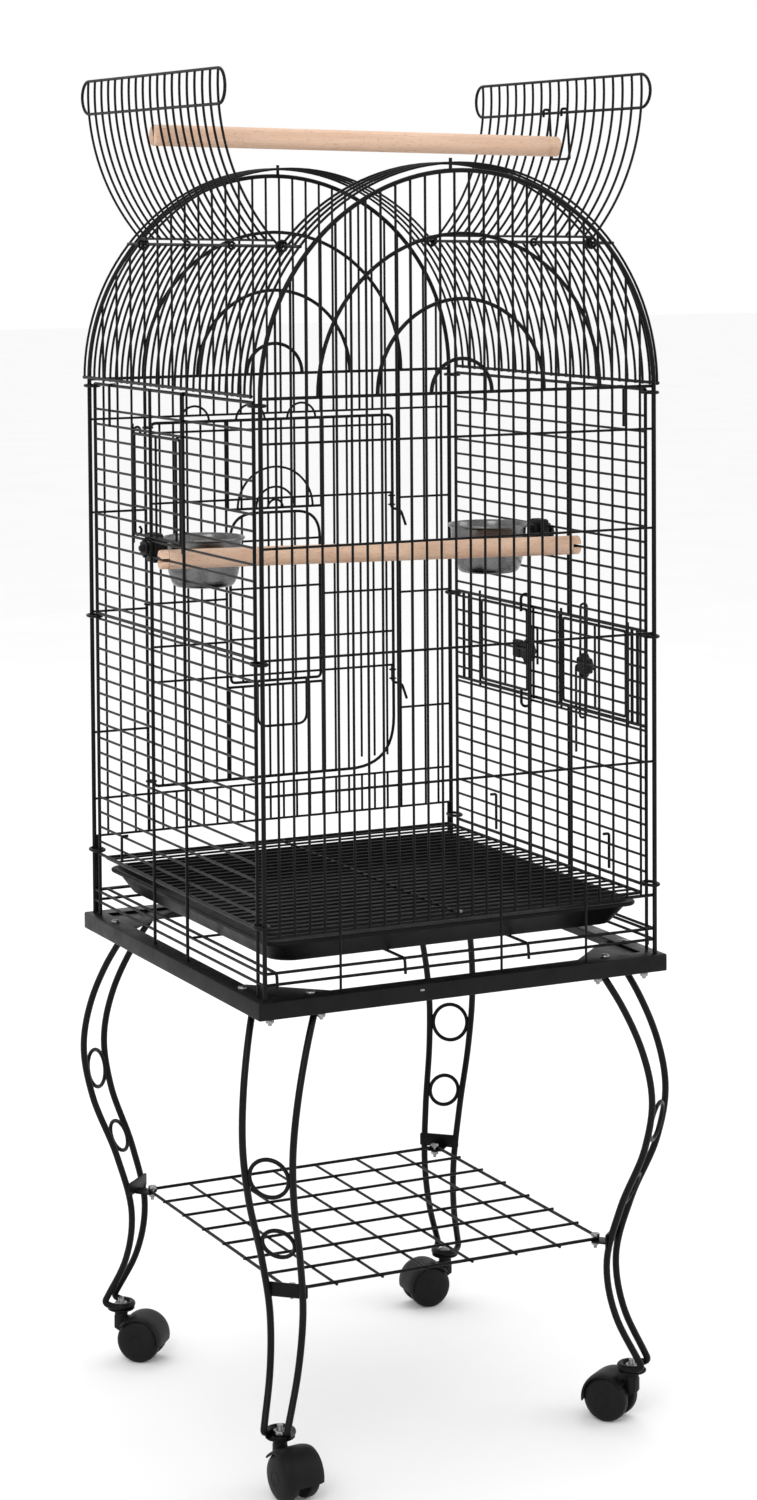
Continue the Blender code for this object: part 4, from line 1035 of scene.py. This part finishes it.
def latches():
    """Two wire latches on the main door and the small staples that hold their shanks."""
    x, y = LATCH_PLACE
    staples = []
    for name, z in LATCHES:
        corners = [(x, y, z + 0.018), (x, y, z), (x + 0.012, y, z - 0.003), (x + 0.018, y, z - 0.020)]
        piece(f"{name}_wire", name, "wire", tubes(rounded(corners, 0.004), 0.0015, 10), replaces=[name])
        for height in (z + 0.004, z + 0.014):
            staples.append(arc((x, y - 0.0012, height), 0.0033, 0, 2 * math.pi, 19, up=(0, 1, 0))[:-1])
    piece("latch_staples", "main_door", "wire", tubes(np.stack(staples), 0.0009, closed=True))


# ---------------------------------------------------------------- knobs, bowls and perches


def lobed(radius, depth, lobes, steps=80):
    """An outline whose radius rises and falls: r (1 - depth + depth cos(lobes a))."""
    a = np.arange(steps) * 2 * math.pi / steps
    r = radius * (1 - depth + depth * np.cos(lobes * a))
    return np.stack([r * np.cos(a), r * np.sin(a)], -1)


def facing_x(sign):
    """Turns a shape's Z axis along +X or -X."""
    return Matrix.Rotation(sign * math.pi / 2, 4, "Y")


def knob_shape(radius, thick, hub, lobes=6):
    """A lobed grip with rounded edges and a raised round hub."""
    grip = slab(lobed(radius, 0.11, lobes), 0, thick * 0.62, 0.0012)
    centre = lathe(
        [(0, 0.001), (hub, 0.001), (hub, thick * 0.86), (hub * 0.8, thick), (0, thick)], 32
    )
    return merged(grip, centre)


def feeder_knobs():
    """A star knob on each of the right wall's feeder doors."""
    knob = placed(knob_shape(0.0130, 0.0120, 0.0056), facing_x(1))
    for name, node, y in KNOBS:
        piece(name, node, "plastic", shifted(knob, KNOB_FACE_X, y, KNOB_Z), replaces=[node])


def bowl_profile():
    """Section of a spun bowl with a rolled rim: down the inside and up the outside."""
    a = np.linspace(0, math.pi / 2, 12)
    wall = 0.0012
    side_r = BOWL_RADIUS * (0.66 + 0.325 * np.sin(a) ** 0.8)
    side_z = -BOWL_DEPTH * np.cos(a) ** 1.15
    outer = np.stack([side_r, side_z], -1)
    outer = outer[outer[:, 1] < -0.003]
    roll = 0.0016
    turn = np.linspace(-math.pi * 0.6, math.pi * 0.9, 12)
    rim_r = BOWL_RADIUS * 0.985 + roll
    rim = np.stack([rim_r + roll * np.cos(turn), -roll + roll * np.sin(turn)], -1)
    inner = outer[::-1] + np.array([-wall, wall])
    base = np.array([
        (0, -BOWL_DEPTH + 0.0008),
        (BOWL_RADIUS * 0.45, -BOWL_DEPTH + 0.0008),
        (BOWL_RADIUS * 0.52, -BOWL_DEPTH),
    ])
    floor = np.array([(BOWL_RADIUS * 0.60, -BOWL_DEPTH + wall + 0.0004), (0, -BOWL_DEPTH + wall + 0.0016)])
    return np.concatenate([base, outer, rim, inner, floor])


def bowls():
    """Two spun bowls, each in a moulded clamp with a lobed nut outside the wall."""
    for name, side, y, rim_z in BOWLS:
        bowl = shifted(lathe(bowl_profile(), 72), side * BOWL_X, y, rim_z)
        node = f"{name}_bowl"
        piece(f"{node}_shell", node, "steel", bowl, replaces=[node], sharp=60.0)
        clamp_y, clamp_z = y - CLAMP_BACK, CLAMP_Z
        outer = slab(rounded_rectangle(0.0150, 0.0120, 0.004), 0.0, 0.0105, 0.0014)
        jaw = slab(rounded_rectangle(0.0095, 0.0085, 0.003), 0.0, 0.0062, 0.0012)
        body = merged(
            shifted(placed(outer, facing_x(side)), side * 0.2020, clamp_y, clamp_z),
            shifted(placed(jaw, facing_x(side)), side * 0.1962, clamp_y, clamp_z),
        )
        stud = straight((side * 0.206, clamp_y, clamp_z), (side * 0.2242, clamp_y, clamp_z), 0.0028, 16)
        piece(f"{name}_clamp", "cage", "plastic", body, stud, replaces=[f"{name}_bowl_clamp"])
        nut = placed(knob_shape(0.0100, 0.0062, 0.0042), facing_x(side))
        nut = shifted(nut, side * 0.2166, clamp_y, clamp_z)
        piece(f"{name}_clamp_nut", "cage", "plastic", nut, replaces=[f"{name}_bowl_nut"])


def perch_shape(radius, half, slot_depth, slot_half):
    """A stick along Z with an open slot in each end: a full round, then two half rounds per end.

    The half rounds are the part of the circle with |x| over slot_half.
    """
    edge = 0.0012
    reach = half - slot_depth
    shank = slab(arc_outline(radius, 0, 2 * math.pi, 64)[:-1], -reach, reach, 0.00001)
    limit = math.acos(slot_half / radius)
    parts = [shank]
    for turn in (0, math.pi):
        outline = arc_outline(radius, turn - limit, turn + limit, 28)
        for low, high in ((reach, half), (-half, -reach)):
            parts.append(slab(outline, low, high, edge))
    return merged(*parts)


def arc_outline(radius, start, end, count):
    """Points on a circle in the XY plane."""
    a = np.linspace(start, end, count)
    return radius * np.stack([np.cos(a), np.sin(a)], -1)


def laid_perch(ends, radius, slot_depth, roll):
    """A slotted stick laid from end to end; roll turns its slots about the stick."""
    start, end = Vector(ends[0]), Vector(ends[1])
    along = end - start
    heading = Matrix.Rotation(math.atan2(along.y, along.x), 4, "Z")
    fall = Matrix.Rotation(math.pi / 2 - math.asin(along.z / along.length), 4, "Y")
    lying = Matrix.Translation((start + end) / 2) @ heading @ fall @ Matrix.Rotation(roll, 4, "Z")
    return placed(perch_shape(radius, along.length / 2, slot_depth, 0.0017), lying)


def perches():
    """The perch across the open flaps with its hook, and the perch inside the cage."""
    top = laid_perch(TOP_PERCH_ENDS, TOP_PERCH_RADIUS, 0.0138, math.pi / 2)
    piece("top_perch_stick", "top_perch", "wood", top, replaces=["top_perch"])
    inner = laid_perch(INNER_PERCH_ENDS, INNER_PERCH_RADIUS, 0.0092, 0.0)
    piece("inner_perch_stick", "cage", "wood", inner, replaces=["inner_perch"])
    rail = flap_point(1, 0, FLAP_LOWER_RAIL)
    x, z = rail[0], rail[2]
    near, far = 0.0260, -0.0124
    over = [(-0.0034, -0.0040), (-0.0034, 0.0040), (0.0036, 0.0040)]
    down = [(x + a, near, z + b) for a, b in over] + [(0.2385, near, TOP_PERCH_ENDS[1][2] - HOOK_DROP)]
    up = [(0.2385, far, TOP_PERCH_ENDS[1][2] - HOOK_DROP)] + [(x + a, far, z + b) for a, b in over[::-1]]
    hook = tubes(rounded(down + up, 0.0026), 0.0014, 10)
    piece("perch_hook_wire", "right_flap", "wire", hook, replaces=["perch_hook"])


# ---------------------------------------------------------------- tray, grate and rack


def tray():
    """A pressed tray: floor, steep wall with a soft step, rolled lip and rounded corners."""
    low, high = TRAY_Z
    wall = 0.0016
    rim_x, rim_y = TRAY_RIM
    foot_x, foot_y = TRAY_FLOOR
    outside = [
        (foot_x - 0.0050, foot_y - 0.0050, 0.020, low + 0.0001),
        (foot_x - 0.0010, foot_y - 0.0010, 0.024, low + 0.0010),
        (foot_x + 0.0010, foot_y + 0.0010, 0.025, low + 0.0036),
        (rim_x - 0.0062, rim_y - 0.0062, 0.020, high - 0.0058),
        (rim_x - 0.0040, rim_y - 0.0040, 0.018, high - 0.0044),
        (rim_x - 0.0006, rim_y - 0.0006, 0.016, high - 0.0040),
        (rim_x, rim_y, 0.016, high - 0.0030),
        (rim_x, rim_y, 0.016, high - 0.0010),
        (rim_x - 0.0009, rim_y - 0.0009, 0.016, high),
    ]
    inside = [
        (rim_x - 0.0045, rim_y - 0.0045, 0.017, high),
        (rim_x - 0.0060, rim_y - 0.0060, 0.017, high - 0.0014),
        (rim_x - 0.0085, rim_y - 0.0085, 0.019, high - 0.0050),
        (foot_x - 0.0010, foot_y - 0.0010, 0.023, low + 0.0044),
        (foot_x - 0.0035, foot_y - 0.0035, 0.022, low + wall + 0.0006),
        (foot_x - 0.0110, foot_y - 0.0110, 0.018, low + wall),
    ]
    piece("tray_shell", "tray", "tray", stacked([*outside, *inside], 10), replaces=["tray"], sharp=35.0)


def grate():
    """The wire floor: close wires across, one along, inside a stronger border."""
    half_x, half_y = GRATE_HALF
    z = GRATE_Z
    border = [(x, y, z) for x, y in inset_corners((-half_x, half_x, -half_y, half_y), RAIL)]
    path = rounded(border, 0.006, closed=True)
    ys = np.linspace(-half_y + RAIL, half_y - RAIL, GRATE_GAPS + 1)[1:-1]
    across = lines([(0, y, z + 0.0006) for y in ys], -half_x + RAIL, half_x - RAIL, 0, FINE - 0.0001)
    along = straight((0, -half_y + RAIL, z - 0.0009), (0, half_y - RAIL, z - 0.0009), RAIL)
    made = [tubes(path, RAIL, 10, closed=True), across, along]
    piece("grate_wires", "grate", "wire", *made, replaces=["grate"])
    weld = lathe([(0, -0.0012), (0.0017, -0.0008), (0.0020, 0.0004), (0.0012, 0.0015), (0, 0.0018)], 20)
    piece("grate_weld", "grate", "zinc", shifted(weld, 0, -half_y + 0.0010, z + 0.0018))


def rack():
    """Four runners under the tray, bent down outside the plain wall, and two cross wires."""
    z = RACK_Z
    routes = []
    for x in RACK_X:
        corners = [(x, 0.2160, z), (x, -HALF_Y - 0.0030, z), (x, -HALF_Y - 0.0045, z - 0.0150)]
        routes.append(rounded(corners, 0.0045))
    runners = tubes(np.stack(routes), SKIRT, 10)
    cross = lines([(0, y, z - 0.0004) for y in RACK_CROSS_Y], -0.2140, 0.2140, 0, FINE)
    piece("rack_wires", "cage", "wire", runners, cross, replaces=["tray_rack"])


# ---------------------------------------------------------------- stand


def hexagon(radius):
    """Outline of a hex nut, corners rounded a little."""
    a = np.arange(36) * 2 * math.pi / 36
    flat = radius * math.cos(math.pi / 6) / np.cos((a + math.pi / 6) % (math.pi / 3) - math.pi / 6)
    r = np.minimum(flat, radius * 0.965)
    return np.stack([r * np.cos(a), r * np.sin(a)], -1)


def frame_ring():
    """The stand's top: angle section with a flange on top and a web outside, bent round corners."""
    low, high = FRAME_Z
    edge = 0.0007
    section = [
        (-SHEET, low + edge * 0.4), (-edge, low), (0, low + edge),
        (0, high - 0.0016), (-0.0005, high - 0.0005),
        (-0.0016, high), (-FRAME_FLANGE + edge, high), (-FRAME_FLANGE, high - edge),
        (-FRAME_FLANGE, high - SHEET), (-SHEET - 0.001, high - SHEET), (-SHEET, high - SHEET - 0.001),
    ]
    outline = rounded_rectangle(*FRAME_HALF, FRAME_BEND, 5)
    ring = corner_sweep(np.array(section), outline)
    piece("frame_ring", "cage", "sheet", ring, replaces=["base_frame"], sharp=30.0)


def corner_sweep(section, outline):
    """Carries a section round an outline whose corners are tighter than the section is deep.

    Points further in than the corner's radius go along the middle line of the corner instead.
    """
    half = np.array(FRAME_HALF)
    radius = FRAME_BEND
    centre = np.sign(outline) * (half - radius)
    direction = unit(outline - centre)
    depth = -section[:, 0]
    shallow = np.minimum(depth, radius)
    beyond = depth - shallow
    flat = centre[:, None] + direction[:, None] * (radius - shallow)[None, :, None]
    flat = flat - np.sign(outline)[:, None] * beyond[None, :, None]
    height = np.broadcast_to(section[None, :, 1:], (*flat.shape[:2], 1))
    points = np.concatenate([flat, height], -1).reshape(-1, 3)
    return points, grid_quads(len(outline), len(section), rows_close=True).tolist()


def screw_shape():
    """A pan head with a shallow dimple, its shank and a nut below."""
    dome = [(0, 0), (0.0045, 0), (0.0047, 0.0007), (0.0042, 0.0020), (0.0028, 0.0028), (0.0011, 0.0027)]
    head = lathe([*dome, (0, 0.0015)], 28)
    shank = lathe([(0, -0.0105), (0.0016, -0.0100), (0.0019, -0.0090), (0.0019, 0.0002), (0, 0.0002)], 18)
    nut = slab(hexagon(0.0040), -0.0078, -0.0047, 0.0005)
    return merged(head, shank, nut)


def frame_screws():
    """Screws through the frame at each corner, bolt ends below it, and a plated slot in front."""
    top = FRAME_Z[1]
    made = []
    for sx in (-1, 1):
        for sy in (-1, 1):
            for x, y in FRAME_SCREWS:
                made.append(shifted(screw_shape(), sx * x, sy * y, top))
    tip = lathe([(0, -0.0245), (0.0016, -0.0240), (0.0020, -0.0230), (0.0020, -0.0170), (0, -0.0170)], 18)
    nut = slab(hexagon(0.0042), -0.0215, -0.0180, 0.0005)
    for x in FRAME_BOLTS_X:
        for y in (-FRAME_BOLTS_Y, FRAME_BOLTS_Y):
            made.append(shifted(merged(tip, nut), x, y, top))
    slot = placed(slab(rounded_rectangle(0.0025, 0.0011, 0.0010), 0, 0.0012, 0.0004), FACING_FRONT)
    made.append(shifted(slot, FRAME_SLOT_X, -FRAME_HALF[1] + 0.0006, top - 0.0058))
    piece("frame_screws", "cage", "zinc", *made)


def leg_radius(z):
    """Distance of the leg from the cage's axis: a cubic through the leg's points.

    Each span is radius (2t^3 - 3t^2 + 1) + next radius (3t^2 - 2t^3), plus the slopes' own cubics.
    """
    heights = np.array([p[0] for p in LEG_PATH[::-1]])
    radii = np.array([p[1] for p in LEG_PATH[::-1]])
    slopes = np.gradient(radii, heights)
    z = np.clip(np.asarray(z, float), heights[0], heights[-1])
    i = np.clip(np.searchsorted(heights, z) - 1, 0, len(heights) - 2)
    span = heights[i + 1] - heights[i]
    t = (z - heights[i]) / span
    rise = (2 * t**3 - 3 * t**2 + 1) * radii[i] + (3 * t**2 - 2 * t**3) * radii[i + 1]
    return rise + span * ((t**3 - 2 * t**2 + t) * slopes[i] + (t**3 - t**2) * slopes[i + 1])


def leg_spread(z):
    """Half the distance between a leg's rods at a height."""
    share = (np.asarray(z) - LEG_PATH[-1][0]) / (LEG_PATH[0][0] - LEG_PATH[-1][0])
    return LEG_SPREAD[1] + (LEG_SPREAD[0] - LEG_SPREAD[1]) * share


def leg_rod():
    """The bent rod: down one side, round the caster's stem and up the other side."""
    z = np.linspace(LEG_PATH[0][0], LEG_PATH[-1][0], 60)
    side = np.stack([leg_radius(z), leg_spread(z), z], -1)
    centre = (STEM_FROM_AXIS, 0, FOOT_ROD_Z)
    foot = arc(centre, LEG_SPREAD[1], math.pi / 2, math.pi * 3 / 2, 21, up=(0, 1, 0))
    elbow_in = side[-1]
    corner = np.array((elbow_in[0] + 0.004, LEG_SPREAD[1], FOOT_ROD_Z + 0.0004))
    t = np.linspace(0, 1, 8)[1:-1, None]
    elbow = (1 - t) ** 2 * elbow_in + 2 * t * (1 - t) * corner + t**2 * foot[0]
    half = np.concatenate([side, elbow])
    other = half[::-1] * np.array((1, -1, 1))
    return tubes(np.concatenate([half, foot, other]), LEG_ROD, 14)


def leg_ring(z):
    """A ring between the rods, leaning with them."""
    radius = float(leg_radius(z))
    slope = float(leg_radius(z + 0.004) - leg_radius(z - 0.004)) / 0.008
    size = float(leg_spread(z)) - LEG_ROD - 0.0008
    lean = unit(np.array((slope, 0, 1.0)))
    path = arc((radius, 0, z), size, 0, 2 * math.pi, 41, along=(0, 1, 0), up=lean)[:-1]
    return tubes(path, 0.0021, 10, closed=True)


def leg_plates():
    """Gusset under the frame, cross plate with its tab, and the foot plate."""
    apex, depth = 0.306, 0.055
    outline = [
        (apex, -0.008), (apex, 0.008), (apex - depth + 0.008, depth), (apex - depth - 0.010, depth - 0.008),
        (apex - depth - 0.010, 0.008 - depth), (apex - depth + 0.008, -depth),
    ]
    gusset = slab(outline, 0.4777, 0.4797, 0.0003)
    z = 0.1905
    x = float(leg_radius(z)) - LEG_ROD
    half = float(leg_spread(z)) + LEG_ROD + 0.0006
    cross = slab(rounded_rectangle(0.0070, half, 0.002), -SHEET / 2, SHEET / 2, 0.0004)
    cross = shifted(placed(cross, facing_x(1)), x, 0, z - 0.0012)
    tab = slab(rounded_rectangle(0.0105, 0.009, 0.004), 0.1822, 0.1840, 0.0004)
    tab = shifted(tab, x - 0.0100, 0, 0)
    a, b = 0.0041, 0.0145
    low, high = FOOT_PLATE_Z
    foot = [(a, low), (b - 0.0008, low), (b, low + 0.0007), (b, high - 0.0006), (b - 0.0008, high)]
    foot = shifted(lathe([*foot, (a, high)], 40), STEM_FROM_AXIS, 0, 0)
    return merged(gusset, cross, tab, foot)


def legs():
    """Four legs: each a bent rod, two rings and its plates, turned to its corner."""
    leg = merged(leg_rod(), *[leg_ring(z) for z in LEG_RINGS_Z], leg_plates())
    for corner, sx, sy, _ in CORNERS:
        angle = corner_angle(sx, sy)
        turned = placed(leg, Matrix.Rotation(angle, 4, "Z"))
        piece(f"{corner}_leg_rod", "cage", "wire", turned, replaces=[f"{corner}_leg"])


def corner_angle(sx, sy):
    """Direction of a stand corner from the cage's axis."""
    return math.atan2(sy * math.sin(LEG_ANGLE), sx * math.cos(LEG_ANGLE))


def shelf():
    """The shelf: a round-cornered border with wires both ways, and a bolt at each corner."""
    half_x, half_y = SHELF_HALF
    z = SHELF_Z
    border = np.array([(-1, -1, 0), (1, -1, 0), (1, 1, 0), (-1, 1, 0)]) * (half_x - FINE, half_y - FINE, 0)
    border = border + np.array((0, 0, z))
    path = rounded(border, 0.006, closed=True)
    xs = np.linspace(-half_x, half_x, 8)[1:-1]
    ys = np.linspace(-half_y, half_y, 8)[1:-1]
    along = lines([(x, 0, z - 0.0010) for x in xs], -half_y - 0.0025, half_y + 0.0025, 1, SKIRT)
    across = lines([(0, y, z + 0.0010) for y in ys], -half_x - 0.0025, half_x + 0.0025, 0, SKIRT)
    made = [tubes(path, RAIL, 10, closed=True), along, across]
    piece("shelf_wires", "cage", "wire", *made, replaces=["shelf"])
    radius = math.hypot(half_x, half_y) - 0.0065
    top = z + 0.0022
    bolt = merged(
        slab(hexagon(0.0046), top - 0.0010, top + 0.0024, 0.0005),
        lathe([(0, 0.1748), (0.0016, 0.1752), (0.0018, 0.1760), (0.0018, top), (0, top)], 18),
        slab(hexagon(0.0042), 0.1787, 0.1819, 0.0005),
    )
    for corner, sx, sy, _ in CORNERS:
        angle = corner_angle(sx, sy)
        x, y = radius * math.cos(angle), radius * math.sin(angle)
        node = f"{corner}_shelf_bolt"
        piece(f"{corner}_bolt", "cage", "zinc", shifted(bolt, x, y, 0), replaces=[node])


# ---------------------------------------------------------------- casters


def hood_shape():
    """The hood: a crowned section carried round the axle, with a rounded boss for the stem.

    The section's radius is the hood's radius less 2.2 mm times the fifth power of the place across.
    """
    w = np.linspace(-1, 1, 21)
    crown = HOOD_RADIUS - 0.0022 * np.abs(w) ** 5
    outer = np.stack([crown, w * 0.0200], -1)
    inner = np.stack([crown - 0.0016, w * 0.0190], -1)[::-1]
    section = np.concatenate([outer, inner])
    a = np.radians(np.linspace(-10, 141, 35))
    x = CASTER_TRAIL + np.cos(a)[:, None] * section[None, :, 0]
    z = WHEEL_RADIUS + np.sin(a)[:, None] * section[None, :, 0]
    y = np.broadcast_to(section[None, :, 1], x.shape)
    count = section.shape[0]
    faces = grid_quads(len(a), count).tolist()
    faces.append(list(range(count))[::-1])
    faces.append(list(range(count * (len(a) - 1), count * len(a))))
    shell = np.stack([x, y, z], -1).reshape(-1, 3), faces
    axle = (CASTER_TRAIL, WHEEL_RADIUS)
    disc = arc_outline(HOOD_RADIUS - 0.0010, math.radians(8), math.radians(124), 24) + axle
    lower = arc_outline(0.0085, math.radians(215), math.radians(325), 9) + axle
    outline = np.concatenate([disc, [(-0.0062, 0.0455), (-0.0062, 0.0325)], lower])
    half = WHEEL_INNER - 0.0008
    web = placed(slab(outline, -half, half, 0.0008), Matrix.Rotation(math.pi / 2, 4, "X"))
    boss = [(0.0043, 0.0320), (0.0066, 0.0320), (0.0070, 0.0330), (0.0070, 0.0500), (0.0064, 0.0508)]
    boss = lathe([*boss, (0.0043, 0.0508)], 36)
    return merged(shell, web, boss)


def wheel_shape():
    """Section of a wheel: blind axle bore, rounded tread, domed cover with a faint groove."""
    outer = WHEEL_INNER + WHEEL_WIDTH
    bore = AXLE_RADIUS + 0.0001
    edge = WHEEL_RADIUS
    return [
        (0, outer - 0.0011), (bore, outer - 0.0011), (bore, WHEEL_INNER),
        (edge - 0.0024, WHEEL_INNER), (edge - 0.0007, WHEEL_INNER + 0.0007), (edge, WHEEL_INNER + 0.0024),
        (edge, outer - 0.0076), (edge - 0.0005, outer - 0.0058), (edge - 0.0021, outer - 0.0037),
        (edge - 0.0050, outer - 0.0021), (0.0140, outer - 0.0009), (0.0095, outer - 0.0003),
        (0.0078, outer - 0.0002), (0.0074, outer - 0.0005), (0.0068, outer - 0.0005),
        (0.0064, outer - 0.0001), (0.0030, outer), (0, outer),
    ]


def stem_shape():
    """A caster's stem with its rounded tip, a washer under the foot plate and a hex nut over it."""
    nut_low = FOOT_PLATE_Z[1]
    shank = [(0, 0.0360), (0.0039, 0.0360), (0.0039, 0.0600), (0.0032, 0.0612), (0.0031, 0.0645)]
    washer = [(0.0039, 0.0510), (0.0062, 0.0510), (0.0062, 0.0519), (0.0039, 0.0519)]
    return merged(
        lathe([*shank, (0, 0.0648)], 28),
        lathe(washer, 32),
        slab(hexagon(0.0072), nut_low + 0.0004, nut_low + 0.0050, 0.0007),
    )


def casters():
    """Each caster: hood on its swivel, two wheels, axle ends, stem, washer and nut."""
    across = Matrix.Rotation(-math.pi / 2, 4, "X")
    half_turn = Matrix.Rotation(math.pi, 4, "X")
    hood = hood_shape()
    stem = stem_shape()
    wheel = lathe(wheel_shape(), 64)
    axle_end = lathe([(0, 0), (0.0024, 0), (0.0024, 0.0180), (0.0018, 0.0186), (0, 0.0187)], 20)
    for corner, sx, sy, degrees in CORNERS:
        angle = corner_angle(sx, sy)
        foot = (STEM_FROM_AXIS * math.cos(angle), STEM_FROM_AXIS * math.sin(angle), 0)
        swivel = Matrix.Translation(foot) @ Matrix.Rotation(math.radians(degrees), 4, "Z")
        hub = swivel @ Matrix.Translation((CASTER_TRAIL, 0, WHEEL_RADIUS))
        body = f"{corner}_caster"
        piece(f"{corner}_hood", body, "plastic", placed(hood, swivel), replaces=[f"{body}_body"])
        pin = merged(placed(axle_end, hub @ across), placed(axle_end, hub @ half_turn @ across))
        piece(f"{corner}_axle_pin", body, "zinc", pin, replaces=[f"{body}_axle"])
        for name, turn in (("left", Matrix.Identity(4)), ("right", half_turn)):
            node = f"{corner}_{name}_wheel"
            made = placed(wheel, hub @ turn @ across)
            piece(f"{node}_tread", node, "tread", made, replaces=[node], sharp=40.0)
        made = placed(stem, Matrix.Translation(foot))
        piece(f"{corner}_stem", "cage", "zinc", made, replaces=[f"{body}_stem"])


# ---------------------------------------------------------------- studio


def floor():
    """A wide pale floor under soft light."""
    half = FLOOR_HALF
    mesh = bpy.data.meshes.new("floor")
    corners = [(x, y, 0) for x, y in inset_corners((-half, half, -half, half), 0)]
    mesh.from_pydata(corners, [], [(0, 1, 2, 3)])
    made, tree, shader = new_material("pale_floor", specular=0.1)
    tone = noise(tree, object_place(tree), 3.0, 2.0)
    colour = blended(tree, remapped(tree, tone, 0.3, 0.7), (0.94, 0.94, 0.94), (0.96, 0.96, 0.96))
    tree.links.new(colour, shader.inputs["Base Color"])
    shader.inputs["Roughness"].default_value = 0.9
    mesh.materials.append(made)
    plane = bpy.data.objects.new("floor", mesh)
    bpy.context.scene.collection.objects.link(plane)


def lamp(name, place, aim, size, power):
    """A square soft light that looks at a point."""
    data = bpy.data.lights.new(name, "AREA")
    data.shape = "SQUARE"
    data.size = size
    data.energy = power
    made = bpy.data.objects.new(name, data)
    made.location = place
    made.rotation_euler = (Vector(aim) - Vector(place)).to_track_quat("-Z", "Y").to_euler()
    bpy.context.scene.collection.objects.link(made)


def studio():
    """White surroundings, a large key light, a fill and a light above."""
    world = bpy.data.worlds.new("studio")
    world.use_nodes = True
    world.node_tree.nodes["Background"].inputs["Color"].default_value = (1, 1, 1, 1)
    world.node_tree.nodes["Background"].inputs["Strength"].default_value = 1.0
    bpy.context.scene.world = world
    bpy.context.scene.view_settings.view_transform = "Standard"
    for values in LAMPS:
        lamp(*values)


def camera():
    """The camera: level apart from a slight look down, shifted to take in the whole object."""
    level = math.cos(CAMERA_PITCH)
    east, north = math.cos(CAMERA_AZIMUTH), math.sin(CAMERA_AZIMUTH)
    back = Vector((north * level, -east * level, math.sin(CAMERA_PITCH)))
    right = Vector((east, north, 0))
    up = back.cross(right)
    place = back * CAMERA_DISTANCE + right * CAMERA_ASIDE + Vector((0, 0, RING_Z))
    turned_right = right * math.cos(CAMERA_ROLL) + up * math.sin(CAMERA_ROLL)
    turned_up = up * math.cos(CAMERA_ROLL) - right * math.sin(CAMERA_ROLL)
    matrix = Matrix((turned_right, turned_up, back)).transposed().to_4x4()
    matrix.translation = place
    data = bpy.data.cameras.new("camera")
    data.sensor_width = CAMERA_SENSOR
    data.lens = CAMERA_LENS
    data.shift_y = CAMERA_SHIFT_Y
    data.clip_end = CAMERA_REACH
    made = bpy.data.objects.new("camera", data)
    made.matrix_world = matrix
    bpy.context.scene.collection.objects.link(made)
    bpy.context.scene.camera = made


# ---------------------------------------------------------------- build


front_wall()
back_wall()
side_walls()
corner_clips()
roof()
flap("left_flap_wires", -1, "left_flap")
flap("right_flap_wires", 1, "right_flap")
main_door()
inner_door()
feeder_doors()
front_catch()
rear_catch()
latches()
feeder_knobs()
bowls()
perches()
tray()
grate()
rack()
frame_ring()
frame_screws()
legs()
shelf()
casters()
floor()
studio()
camera()
